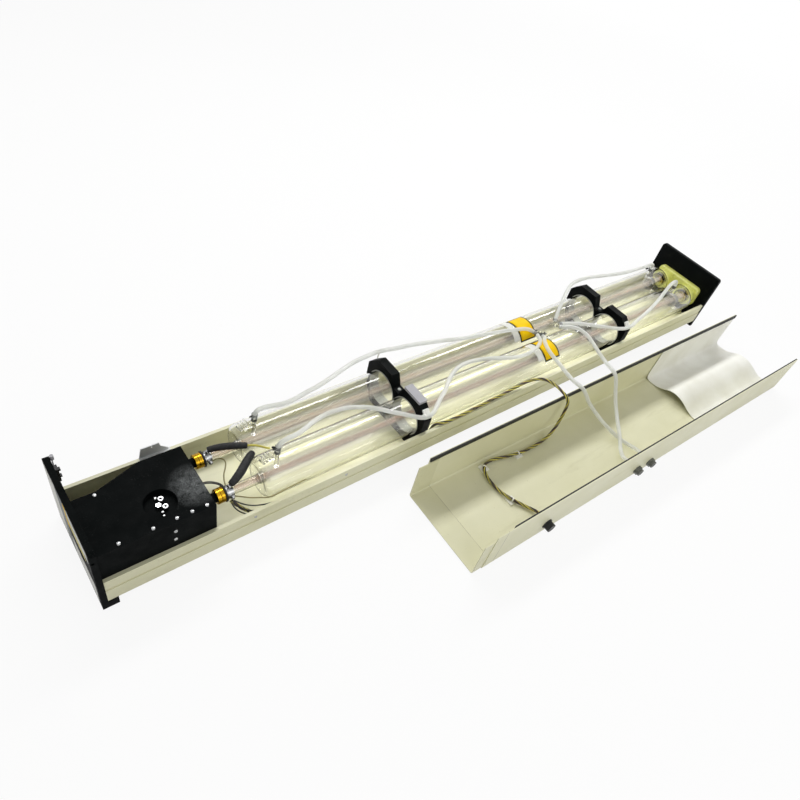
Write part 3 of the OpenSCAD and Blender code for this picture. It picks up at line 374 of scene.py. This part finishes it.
GREY = metal("grey_metal_mat", srgb(176, 178, 176), srgb(132, 134, 134), 0.36, scale=90)
DULL = metal("dull_fitting_mat", srgb(120, 122, 118), srgb(84, 86, 82), 0.42, scale=120)
ELECTRODE = metal("electrode_metal_mat", srgb(176, 174, 168), srgb(128, 126, 120), 0.34, scale=70)
MIRROR = metal("mirror_mat", srgb(232, 214, 150), srgb(214, 190, 120), 0.1, scale=40)
BRASS = metal("brass_mat", srgb(200, 158, 40), srgb(124, 92, 16), 0.16, grain=(6, 0.3, 0.3), scale=120)
RUBBER = rubber("black_rubber_mat", srgb(20, 21, 22), srgb(92, 92, 88))
PLASTIC = rubber("black_plastic_mat", srgb(24, 25, 26), srgb(96, 96, 92), 0.45, 200, 0.15)
GREY_PLASTIC = rubber("grey_plastic_mat", srgb(172, 171, 175), srgb(150, 148, 148), 0.6, 160, 0.4)
PALE_GREY = rubber("pale_catch_mat", srgb(228, 230, 230), srgb(188, 190, 190), 0.42, 160, 0.5)
LINER = rubber("liner_rubber_mat", srgb(156, 158, 150), srgb(200, 201, 193), 0.5, 220, 0.5)
JACKET = glass("jacket_glass_mat", (1, 1, 0.995, 1), (0.97, 0.97, 0.955, 1))
INNER = thin_glass("inner_glass_mat", srgb(255, 250, 226), srgb(170, 156, 104), 0.06)
BORE = thin_glass("bore_glass_mat", srgb(255, 226, 190), srgb(170, 58, 18), 0.15)
FITTING = glass("clear_fitting_mat", srgb(240, 240, 232), srgb(222, 222, 210), False)
HOSE = Mat("white_hose_mat", srgb(236, 237, 234), 0.34, Transmission_Weight=0.42, IOR=1.18)
HOSE.colour(HOSE.mix(HOSE.band(HOSE.noise(26, 3), 0.35, 0.7), srgb(238, 239, 236), srgb(226, 227, 221)))
HOSE.roughness(HOSE.band(HOSE.noise(50, 3), 0.3, 0.7, 0.28, 0.4))
HOSE.let_lamps_through((0.66, 0.66, 0.64, 1))
SHEET = Mat("white_sheet_mat", srgb(238, 238, 232), 0.46, Subsurface_Weight=0.1,
            Subsurface_Radius=(0.002, 0.002, 0.002))
SHEET.colour(SHEET.mix(SHEET.band(SHEET.noise(12, 5), 0.35, 0.7), srgb(246, 246, 240), srgb(232, 231, 221)))
SHEET.roughness(SHEET.band(SHEET.noise(30, 3), 0.3, 0.7, 0.4, 0.56)).bump(SHEET.noise(35, 3), 0.0006, 0.3)


def wire_coat(name, base, dark):
    m = Mat(name, base, 0.4)
    m.colour(m.mix(m.band(m.noise(60, 4), 0.4, 0.75), base, dark))
    m.roughness(m.band(m.noise(90, 3), 0.3, 0.7, 0.32, 0.52))
    return m.bump(m.noise(900, 2), 0.0001, 0.5)


WIRE_YELLOW = wire_coat("wire_yellow_mat", srgb(214, 204, 92), srgb(160, 148, 50))
WIRE_BLACK = wire_coat("wire_black_mat", srgb(24, 24, 25), srgb(58, 56, 52))
WIRE_OLIVE = wire_coat("wire_olive_mat", srgb(150, 140, 88), srgb(112, 104, 62))
WIRE_BROWN = wire_coat("wire_brown_mat", srgb(92, 66, 52), srgb(62, 44, 36))

SLOT_MATS = {
    "cream_enamel": CREAM, "black_enamel": BLACK, "black_clamp": CLAMP, "olive_block": OLIVE,
    "bright_metal": BRIGHT, "grey_metal": GREY, "brass": BRASS, "jacket_glass": JACKET,
    "inner_glass": INNER, "electrode_metal": ELECTRODE, "mirror": MIRROR, "black_rubber": RUBBER,
    "black_plastic": PLASTIC, "grey_plastic": GREY_PLASTIC, "liner_rubber": LINER, "white_hose": HOSE,
    "clear_fitting": FITTING, "wire_yellow": WIRE_YELLOW, "white_sheet": SHEET, "dull_fitting": DULL,
}
NODE_MATS = {
    "cover_shell": CREAM_COVER, "head_box_rear_lid": BLACK_REAR_LID,
    "near_bore_tube": BORE, "far_bore_tube": BORE, "cover_catch": PALE_GREY, "tie_mounts": SHEET,
    "clamp_pad": GREY_PLASTIC, "rear_plate": CLAMP, "clamp_screws": DULL,
}
SLOT_NODES = {
    "cream_enamel": "base_tray cover_shell cover_lap_strip",
    "black_enamel": "front_plate rear_plate front_foot head_box_body head_box_front_lid head_box_rear_lid "
                    "adjuster_well mirror_necks",
    "grey_metal": "wall_screws cover_catch",
    "bright_metal": "adjuster_nuts adjuster_knob adjuster_screws box_screws terminal_clamps clamp_screws",
    "brass": "near_brass_coupling far_brass_coupling",
    "black_rubber": "coupling_seals far_sleeve near_sleeve cover_far_trim cover_near_trim",
    "jacket_glass": "near_jacket far_jacket water_nipples",
    "inner_glass": "near_water_tube far_water_tube near_bore_tube far_bore_tube",
    "electrode_metal": "cathodes anodes",
    "black_clamp": "front_clamp_base front_clamp_cap rear_clamp_base rear_clamp_cap",
    "liner_rubber": "clamp_liners",
    "white_sheet": "clamp_pad cover_liner",
    "olive_block": "fold_block",
    "mirror": "fold_mirrors",
    "black_plastic": "interlock_switch rear_switch panel_connector",
    "grey_plastic": "interlock_lever",
    "wire_yellow": "lead_wires harness",
    "white_hose": "hose_far_front hose_near_front hose_far_rear hose_near_rear hose_inlet hose_outlet",
    "clear_fitting": "hose_tees tie_mounts",
    "dull_fitting": "hose_clips water_fittings",
}
NODE_SLOTS = {node: slot for slot, nodes in SLOT_NODES.items() for node in nodes.split()}

for node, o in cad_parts.items():
    finish = NODE_MATS.get(node) or SLOT_MATS[NODE_SLOTS[node]]
    for material_slot in o.material_slots:
        material_slot.material = finish.m


# ---------------------------------------------------------------- mesh helpers
def new_object(name, data, slot, *mats):
    o = bpy.data.objects.new(name, data)
    bpy.context.scene.collection.objects.link(o)
    for m in mats:
        data.materials.append(m.m)
    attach(o, "root")
    return o


def mesh_object(name, verts, faces, slot, *mats, smooth=True, index=None):
    data = bpy.data.meshes.new(name)
    data.from_pydata([tuple(v) for v in verts], [], faces)
    data.update()
    if smooth:
        data.polygons.foreach_set("use_smooth", [True] * len(data.polygons))
    o = new_object(name, data, slot, *mats)
    if index:
        data.polygons.foreach_set("material_index", index)
    return o


def metres(points):
    return [Vector(p) * MM for p in points]


def smooth_line(points, step):
    """Points every step or so along a Catmull-Rom curve through the given ones."""
    out = []
    last = len(points) - 1
    for i in range(last):
        p0, p1, p2, p3 = (points[max(0, min(last, k))] for k in (i - 1, i, i + 1, i + 2))
        n = max(1, round((p2 - p1).length / step))
        for j in range(n):
            t = j / n
            out.append(0.5 * (2 * p1 + (p2 - p0) * t + (2 * p0 - 5 * p1 + 4 * p2 - p3) * t * t
                              + (3 * p1 - p0 - 3 * p2 + p3) * t ** 3))
    return out + [points[-1]]


def carried_frames(line):
    """A tangent and two sides at each point, carried along without twist."""
    frames, side = [], None
    for i in range(len(line)):
        t = (line[min(i + 1, len(line) - 1)] - line[max(i - 1, 0)]).normalized()
        if side is None:
            side = t.cross(Vector((0, 0, 1)) if abs(t.z) < 0.9 else Vector((0, 1, 0)))
        side = (side - side.dot(t) * t).normalized()
        frames.append((t, side, t.cross(side)))
    return frames


def tube_parts(line, radius, sides):
    """Vertices and faces of a capped tube; radius is a number or a function of the share along it."""
    verts, faces = [], []
    for i, (p, (_, u, v)) in enumerate(zip(line, carried_frames(line))):
        r = radius(i / (len(line) - 1)) if callable(radius) else radius
        for k in range(sides):
            a = 2 * math.pi * k / sides
            verts.append(p + (math.cos(a) * u + math.sin(a) * v) * r)
    for i in range(len(line) - 1):
        for k in range(sides):
            a, b = i * sides + k, i * sides + (k + 1) % sides
            faces.append((a, b, b + sides, a + sides))
    faces.append(tuple(range(sides))[::-1])
    faces.append(tuple(len(line) * sides - sides + k for k in range(sides)))
    return verts, faces


def join_parts(parts):
    """One mesh from many (vertices, faces, material index)."""
    verts, faces, index = [], [], []
    for v, f, m in parts:
        n = len(verts)
        verts += v
        faces += [tuple(i + n for i in face) for face in f]
        index += [m] * len(f)
    return verts, faces, index


def line_length(line):
    return sum((b - a).length for a, b in zip(line, line[1:]))


# ---------------------------------------------------------------- hoses and wires
HOSE_D, HARNESS_D = 0.009, 0.007


def curve_cord(name, route, diameter, slot, mat, node):
    points = metres(route)
    data = bpy.data.curves.new(name, "CURVE")
    data.dimensions = "3D"
    data.bevel_depth, data.bevel_resolution, data.resolution_u = diameter / 2, 5, 8
    data.use_fill_caps = True
    spline = data.splines.new("BEZIER")
    spline.bezier_points.add(len(points) - 1)
    for b, p in zip(spline.bezier_points, points):
        b.co = p
        b.handle_left_type = b.handle_right_type = "AUTO"
    o = new_object(name, data, slot, mat)
    if node:
        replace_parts(o, node)


for word, route in (("far_front", FAR_FRONT_ROUTE), ("near_front", NEAR_FRONT_ROUTE),
                    ("far_rear", FAR_REAR_ROUTE[::-1]), ("near_rear", NEAR_REAR_ROUTE[::-1]),
                    ("inlet", INLET_ROUTE[::-1]), ("outlet", OUTLET_ROUTE[::-1])):
    curve_cord("water_hose_" + word, route, HOSE_D, "white_hose", HOSE, "hose_" + word)


def twisted(line, radius, pitch, phase, wander=0.0):
    """A strand winding round a line."""
    out, run = [], 0.0
    for i, (p, (t, u, v)) in enumerate(zip(line, carried_frames(line))):
        if i:
            run += (p - line[i - 1]).length
        a = phase + 2 * math.pi * run / pitch + wander * noise.noise(Vector((run * 9, phase, 0)))
        out.append(p + (math.cos(a) * u + math.sin(a) * v) * radius)
    return out


harness_line = smooth_line(metres(HARNESS_ROUTE), 0.005)
STRAND_COATS = (WIRE_YELLOW, WIRE_BLACK, WIRE_BROWN, WIRE_OLIVE)
STRAND_ORDER = (0, 1, 0, 2, 1, 3)
STRAND_R, STRAND_OUT, STRAND_PITCH = 0.00125, 0.0023, 0.052
strands = []
for k, coat in enumerate(STRAND_ORDER):
    strand = twisted(harness_line, STRAND_OUT, STRAND_PITCH, 2 * math.pi * k / len(STRAND_ORDER), 0.9)
    strands.append((*tube_parts(strand, STRAND_R, 6), coat))
verts, faces, coats = join_parts(strands)
harness = mesh_object("wiring_harness", verts, faces, "wire_yellow", *STRAND_COATS, index=coats)
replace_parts(harness, "harness")

curve_cord("lead_yellow", YELLOW_LEAD, 0.004, "wire_yellow", WIRE_YELLOW, "lead_wires")
for word, route, diameter, coat in (
        ("terminal", TERMINAL_LEAD, 0.0024, WIRE_OLIVE), ("side", SIDE_LEAD, 0.0024, WIRE_OLIVE),
        ("box_upper", BOX_LEAD, 0.0022, WIRE_BLACK),
        ("box_lower", [(x, y, z - 4) for x, y, z in BOX_LEAD], 0.0022, WIRE_BLACK),
        *(("loose_%d" % (k + 1), route, 0.0025, WIRE_BLACK) for k, route in enumerate(LOOSE_LEADS))):
    curve_cord("lead_" + word, route, diameter, "wire_yellow", coat, None)


TAPE_TURN, TAPE_STEP = 0.0075, 0.0003


def sleeve(name, route, node, radius_at):
    """A lead's black insulating sleeve, bound with overlapping turns of tape."""
    line = smooth_line(metres(route), 0.0008)
    total = line_length(line)

    def radius(s):
        turn = (s * total / TAPE_TURN) % 1.0
        return radius_at(s) - TAPE_STEP * (1 - turn) + 0.00012 * noise.noise(Vector((s * 60, 1, 2)))

    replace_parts(mesh_object(name, *tube_parts(line, radius, 28), "black_rubber", RUBBER), node)


def bell(s, ends, middle):
    """A radius that swells from the ends to the middle."""
    return ends + (middle - ends) * math.sin(math.pi * min(1, max(0, s))) ** 0.45


sleeve("far_lead_sleeve", FAR_SLEEVE_ROUTE, "far_sleeve", lambda s: bell(s, 0.0052, 0.0066))
sleeve("near_lead_sleeve", NEAR_SLEEVE_ROUTE, "near_sleeve", lambda s: bell(s, 0.0050, 0.0079))


# ---------------------------------------------------------------- labels on the jackets
def jacket_point(x, side, degrees, r):
    """Degrees from the top of the jacket, positive towards +Y."""
    a = math.radians(degrees)
    return Vector((x, side * TUBE_Y + r * math.sin(a), TUBE_Z + r * math.cos(a))) * MM


LABEL_THICK = 0.16


def wrap(name, side, x0, x1, a0, a1, r, mat, slot):
    """A label from x0 to x1 and from angle a0 to a1, wrapped round a jacket at radius r."""
    nx, na = 6, 40
    verts, faces = [], []
    for level in (r, r + LABEL_THICK):
        for i in range(nx + 1):
            for k in range(na + 1):
                verts.append(jacket_point(x0 + (x1 - x0) * i / nx, side, a0 + (a1 - a0) * k / na, level))
    w, half = na + 1, (nx + 1) * (na + 1)
    for i in range(nx):
        for k in range(na):
            a = i * w + k
            faces.append((a, a + 1, a + 1 + w, a + w))
            faces.append((a + half + w, a + half + 1 + w, a + half + 1, a + half))
    rim = [*range(w), *(i * w + na for i in range(1, nx + 1)),
           *(nx * w + k for k in range(na - 1, -1, -1)), *(i * w for i in range(nx - 1, 0, -1))]
    for a, b in zip(rim, rim[1:] + rim[:1]):
        faces.append((a, a + half, b + half, b))
    mesh_object(name, verts, faces, slot, mat)


def label_mat(name, base, dark):
    m = Mat(name, base, 0.5, Specular_IOR_Level=0.15)
    m.colour(m.mix(m.band(m.noise(40, 4), 0.4, 0.75), base, dark))
    m.roughness(m.band(m.noise(60, 3), 0.3, 0.7, 0.42, 0.6))
    return m.bump(m.noise(90, 3), 0.0002, 0.35)


LABEL_YELLOW = label_mat("label_yellow_mat", srgb(250, 208, 0), srgb(242, 194, 0))
LABEL_BLACK = label_mat("label_black_mat", srgb(26, 25, 22), srgb(44, 42, 36))
LABEL_WHITE = label_mat("label_white_mat", srgb(232, 232, 226), srgb(206, 206, 196))
PANEL_GREY = label_mat("panel_grey_mat", srgb(128, 132, 132), srgb(108, 112, 112))
PANEL_PALE = label_mat("panel_pale_mat", srgb(228, 216, 132), srgb(212, 200, 116))
for word, side, top, low in (("far", 1, 40, -66), ("near", -1, 35, -56)):
    wrap(word + "_label_border", side, 1007, 1058, low, top, JACKET_R + 0.1, LABEL_BLACK, "black_plastic")
    wrap(word + "_label_panel", side, 1010.5, 1054.5, low + 5, top - 5, JACKET_R + 0.3, LABEL_YELLOW,
         "wire_yellow")
    wrap(word + "_label_white", side, 986, 1005, low + 10, top, JACKET_R + 0.1, LABEL_WHITE, "white_sheet")


# ---------------------------------------------------------------- glass coils at the front nipples
def coil(name, y):
    """A sloping glass coil beside a nipple, with its two ends drawn out into the jacket."""
    a, b = Vector((291, y, 129.5)) * MM, Vector((309, y, 140)) * MM
    axis = (b - a).normalized()
    u = axis.cross(Vector((0, 1, 0))).normalized()
    v = axis.cross(u)
    line = [Vector((297, y, 121.6)) * MM]
    turns, steps, out, wall = 3.5, 64, 0.0070, 0.0016
    for i in range(steps + 1):
        s = i / steps
        angle = 2 * math.pi * turns * s
        line.append(a + (b - a) * s + (math.cos(angle) * u + math.sin(angle) * v) * out)
    line.append(Vector((317.5, y, 139)) * MM)
    mesh_object(name, *tube_parts(smooth_line(line, 0.0008), wall, 10), "clear_fitting", FITTING)


coil("near_glass_coil", -TUBE_Y)
coil("far_glass_coil", TUBE_Y)


# ---------------------------------------------------------------- clips, ties, saddles and bare plates
def pad_parts(centre, x_dir, y_dir, size, corner, edge=0.3):
    """A plate with round corners and softened edges."""
    c, x, y = Vector(centre) * MM, Vector(x_dir).normalized(), Vector(y_dir).normalized()
    z = x.cross(y)
    a, b, d = (k / 2 for k in size)
    edge = min(edge, d * 0.9, corner * 0.9)
    verts, faces, n = [], [], 20
    for level, inset in ((-d, edge), (-d + edge, 0), (d - edge, 0), (d, edge)):
        for q, (i, j) in enumerate(((1, 1), (-1, 1), (-1, -1), (1, -1))):
            for k in range(5):
                t = math.radians(90 * q + 22.5 * k)
                px = i * (a - corner) + (corner - inset) * math.cos(t)
                py = j * (b - corner) + (corner - inset) * math.sin(t)
                verts.append(c + (x * px + y * py + z * level) * MM)
    for level in range(3):
        for k in range(n):
            p, q = level * n + k, level * n + (k + 1) % n
            faces.append((p, q, q + n, p + n))
    return verts, [tuple(range(n))[::-1]] + faces + [tuple(range(3 * n, 4 * n))]


def box_parts(centre, x_dir, y_dir, size):
    """A small block, rounded in proportion to its size."""
    return pad_parts(centre, x_dir, y_dir, size, 0.4 * min(size[:2]), 0.25)


def ring_parts(centre, axis, inner, outer, length, sides=24):
    """A plain ring, sized in millimetres."""
    c, t = Vector(centre) * MM, Vector(axis).normalized()
    u = t.cross(Vector((0, 0, 1)) if abs(t.z) < 0.9 else Vector((0, 1, 0))).normalized()
    v = t.cross(u)
    verts, faces = [], []
    for r, s in ((inner, -0.5), (outer, -0.5), (outer, 0.5), (inner, 0.5)):
        for k in range(sides):
            a = 2 * math.pi * k / sides
            verts.append(c + (math.cos(a) * u + math.sin(a) * v) * r * MM + t * s * length * MM)
    for q in range(4):
        for k in range(sides):
            k1, q1 = (k + 1) % sides, (q + 1) % 4
            faces.append((q * sides + k, q * sides + k1, q1 * sides + k1, q1 * sides + k))
    return verts, faces


def spring_clip(centre, axis, out):
    """Two bands of spring wire round a hose, with two ears standing away from it."""
    bore = HOSE_D / MM / 2 + 0.2
    t, o = Vector(axis).normalized(), Vector(out)
    o = (o - o.dot(t) * t).normalized()
    side = t.cross(o)
    c = Vector(centre)
    parts = [ring_parts(c + t * off, t, bore, bore + 1.0, 1.3) for off in (-1.9, 1.9)]
    for k in (-1, 1):
        parts.append(box_parts(c + o * (bore + 3.2) + side * k * 2.1, o + 0.35 * k * side, t, (6.0, 5.2, 1.1)))
    return parts


def joined(name, parts, slot, mat):
    """One flat-shaded piece from several (vertices, faces)."""
    verts, faces, _ = join_parts([(*p, 0) for p in parts])
    mesh_object(name, verts, faces, slot, mat, smooth=False)


for word, at, out, mat, slot in (
        ("near_nipple_clip", (322.3, -TUBE_Y, 149.5), (-1, 0.2, 0), PLASTIC, "black_plastic"),
        ("far_nipple_clip", (322.3, TUBE_Y, 149.5), (-1, -0.4, 0), DULL, "dull_fitting")):
    joined(word, spring_clip(at, (0.12, 0, 1), out), slot, mat)


tee_clips = {True: [], False: []}
for span, out, bright in (
        (FAR_FRONT_ROUTE[-2:], (0, -1, 1), True), (NEAR_FRONT_ROUTE[-2:], (0, -1, 1), False),
        (INLET_ROUTE[:2], (1, 0, 1), False), (FAR_REAR_ROUTE[:2], (-1, 0, 1), True),
        (NEAR_REAR_ROUTE[:2], (0, -1, 1), False), (OUTLET_ROUTE[:2], (1, 0, 1), True)):
    a, b = Vector(span[0]), Vector(span[1])
    tee_clips[bright] += spring_clip(a + (b - a) * 0.5, b - a, out)
joined("tee_clips_bright", tee_clips[True], "bright_metal", BRIGHT)
joined("tee_clips_dark", tee_clips[False], "dull_fitting", DULL)

# white saddles on the clamps' near bevels, the tie over the front hose and the stand-off on the far lobe
BEVEL_ALONG, BEVEL_OUT = Vector((0, 1, 1)).normalized(), Vector((0, -1, 1)).normalized()
for word, x in (("front", 629), ("rear", 1294)):
    at = Vector((x, -83.2, 128.3)) + BEVEL_OUT * 2.2
    joined(word + "_hose_saddle", [pad_parts(at, (1, 0, 0), BEVEL_ALONG, (15, 13, 4), 2.0, 0.6),
                                   pad_parts(at + BEVEL_OUT * 2.4, (1, 0, 0), BEVEL_ALONG, (5, 12, 1.2), 1.0, 0.3)],
           "white_sheet", SHEET)
joined("front_hose_tie", [ring_parts((621, -91.4, 126.9), (1, 0.1, 0.0), 4.8, 5.8, 4.2)], "white_sheet", SHEET)
joined("hose_stand_off", [box_parts((626, 79, 148), (1, 0, 0), (0, 1, 0.1), (3.2, 2.2, 24)),
                          box_parts((626, 79, 159), (1, 0, 0), (0, 1, 0), (9, 2.4, 2.4))], "clear_fitting", FITTING)

# the pale liner, with the folds of the CAD's sheet rounded: across and above the cover's corner, in millimetres
LINER_FOLDS = [
    (197.3, 97.5), (197.3, 72), (197.3, 48), (197.3, 30), (197.3, 18), (195, 8), (188, 3.4), (176, 2.8), (160, 4.5),
    (143, 11), (130, 18), (118, 22), (104, 22.5), (90, 20), (76, 14.5), (62, 8), (46, 3.2), (30, 2.8),
]
LINER_START, LINER_LENGTH, LINER_THICK, LINER_ROWS = 792, 342, 1, 24
LINER_LOW, RIPPLE_FROM = 2.8, 176


def liner_point(profile, k, u, side):
    """A point on the sheet's underside (side 0) or top (side 1), with a slow swell along the cover."""
    p = profile[k]
    t = (profile[min(k + 1, len(profile) - 1)] - profile[max(k - 1, 0)]).normalized()
    swell = 1 + 0.045 * math.sin(u / 62 + 0.6)
    z = LINER_LOW + (p.y - LINER_LOW) * swell if p.x < RIPPLE_FROM else p.y
    return cover_point(u, p.x + side * LINER_THICK * t.y, z - side * LINER_THICK * t.x)


def liner_parts():
    profile = smooth_line([Vector((v, z, 0)) for v, z in LINER_FOLDS], 3)
    last, rows = len(profile) - 1, LINER_ROWS

    def at(i, k, side):
        return (i * len(profile) + k) * 2 + side

    verts = [liner_point(profile, k, LINER_START + LINER_LENGTH * i / rows, side)
             for i in range(rows + 1) for k in range(last + 1) for side in (0, 1)]
    faces = []
    for i in range(rows):
        for k in range(last):
            faces += [(at(i, k, 0), at(i, k + 1, 0), at(i + 1, k + 1, 0), at(i + 1, k, 0)),
                      (at(i, k, 1), at(i + 1, k, 1), at(i + 1, k + 1, 1), at(i, k + 1, 1))]
        faces += [(at(i, 0, 0), at(i + 1, 0, 0), at(i + 1, 0, 1), at(i, 0, 1)),
                  (at(i, last, 0), at(i, last, 1), at(i + 1, last, 1), at(i + 1, last, 0))]
    for k in range(last):
        faces += [(at(0, k, 0), at(0, k, 1), at(0, k + 1, 1), at(0, k + 1, 0)),
                  (at(rows, k, 0), at(rows, k + 1, 0), at(rows, k + 1, 1), at(rows, k, 1))]
    return verts, faces


liner = mesh_object("cover_liner_sheet", *liner_parts(), "white_sheet", SHEET)
liner.data.set_sharp_from_angle(angle=0.8)
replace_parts(liner, "cover_liner")

# cable ties that hold the harness to the cover's tie mounts
ties = []
for u, v in ((280, 170), (185, 178), (182, 86)):
    at = cover_point(u, v, 8)
    k = min(range(1, len(harness_line) - 1), key=lambda i: (harness_line[i] - at).length)
    ties.append(ring_parts(harness_line[k] / MM, harness_line[k + 1] - harness_line[k - 1], 3.7, 4.5, 3.0))
joined("harness_ties", ties, "white_sheet", SHEET)

# flat panels, pale, grey, white and yellow, laid on the front plate's outer face, clear of the beam port: y and z
# from and to, in millimetres
PANEL_X = -10.15
for word, y0, y1, z0, z1, mat, slot in (
        ("pale", 44, 95, 12, 156, LABEL_WHITE, "white_sheet"),
        ("grey", 12, 42, 12, 156, PANEL_GREY, "grey_plastic"),
        ("yellow", -2, 10, 100, 156, LABEL_YELLOW, "wire_yellow"),
        ("upper", -90, -4, 128, 156, LABEL_WHITE, "white_sheet"),
        ("lower", -90, 10, 12, 64, LABEL_WHITE, "white_sheet"),
        ("strip", -70, -4, 104, 125, PANEL_PALE, "wire_yellow")):
    joined("plate_panel_" + word, [pad_parts((PANEL_X, (y0 + y1) / 2, (z0 + z1) / 2), (0, 1, 0), (0, 0, 1),
                                             (y1 - y0, z1 - z0, 0.3), 2.5, 0.1)], slot, mat)


# ---------------------------------------------------------------- floor, lamps and world
def looked_at(tree):
    """1 for rays from the camera, reflections and glass, 0 for rays that only carry light."""
    path = tree.nodes.new("ShaderNodeLightPath")
    value = path.outputs["Is Camera Ray"]
    for ray in ("Is Glossy Ray", "Is Transmission Ray"):
        n = tree.nodes.new("ShaderNodeMath")
        n.operation = "MAXIMUM"
        tree.links.new(value, n.inputs[0])
        tree.links.new(path.outputs[ray], n.inputs[1])
        value = n.outputs[0]
    return value


# the floor glows white where it is looked at, and keeps a little of the shadow near the part
FLOOR = Mat("floor_mat", srgb(236, 236, 235), 0.7)
FLOOR.colour(FLOOR.mix(FLOOR.band(FLOOR.noise(3, 3), 0.3, 0.7), srgb(236, 236, 235), srgb(233, 233, 232)))
glow = FLOOR.node("Emission")
glow.inputs[0].default_value, glow.inputs[1].default_value = (1, 1, 1, 1), 1.0
share = FLOOR.node("MixShader")
reach = FLOOR.node("VectorMath", operation="LENGTH")
FLOOR.feed(reach.inputs[0], FLOOR.node("NewGeometry").outputs["Position"])
FLOOR.feed(share.inputs[0], FLOOR.calc("MULTIPLY", looked_at(FLOOR.nt),
                                       FLOOR.band(reach.outputs["Value"], 2.5, 5.0, 0.90, 1.0)))
FLOOR.feed(share.inputs[1], FLOOR.p.outputs[0])
FLOOR.feed(share.inputs[2], glow.outputs[0])
FLOOR.feed(FLOOR.out.inputs[0], share.outputs[0])
FLOOR_HALF, FLOOR_Z = 30, -0.0005
floor_mesh = bpy.data.meshes.new("floor")
floor_mesh.from_pydata([(x * FLOOR_HALF, y * FLOOR_HALF, FLOOR_Z) for x, y in ((-1, -1), (1, -1), (1, 1), (-1, 1))],
                       [], [(0, 1, 2, 3)])
floor_mesh.materials.append(FLOOR.m)
floor = bpy.data.objects.new("floor", floor_mesh)
bpy.context.scene.collection.objects.link(floor)


def lamp(name, at, aim, size, watts):
    data = bpy.data.lights.new(name, "AREA")
    data.shape, data.size, data.size_y = "RECTANGLE", size[0], size[1]
    data.energy = watts
    o = bpy.data.objects.new(name, data)
    o.location = at
    o.rotation_mode = "QUATERNION"
    o.rotation_quaternion = (Vector(aim) - Vector(at)).to_track_quat("-Z", "Y")
    bpy.context.scene.collection.objects.link(o)


lamp("key", (2.1, 1.35, 2.25), (2.1, -0.15, 0.05), (4.4, 0.45), 70)
lamp("front_glint", (2.3, -1.5, 2.1), (2.3, -0.1, 0.05), (4.2, 0.22), 3)
lamp("front_fill", (0.7, -2.3, 1.6), (0.8, -0.1, 0.05), (2.6, 1.2), 19)

WORLD_FILL, WORLD_SEEN = 0.36, 1.0
world = bpy.data.worlds.new("studio")
bpy.context.scene.world = world
world.use_nodes = True
tree = world.node_tree
tree.nodes.clear()
world_mix = tree.nodes.new("ShaderNodeMixShader")
tree.links.new(looked_at(tree), world_mix.inputs[0])
for socket, strength in zip(world_mix.inputs[1:], (WORLD_FILL, WORLD_SEEN)):
    background = tree.nodes.new("ShaderNodeBackground")
    background.inputs[0].default_value, background.inputs[1].default_value = (1, 1, 1, 1), strength
    tree.links.new(background.outputs[0], socket)
tree.links.new(world_mix.outputs[0], tree.nodes.new("ShaderNodeOutputWorld").inputs[0])
bpy.context.scene.view_settings.view_transform = "Standard"
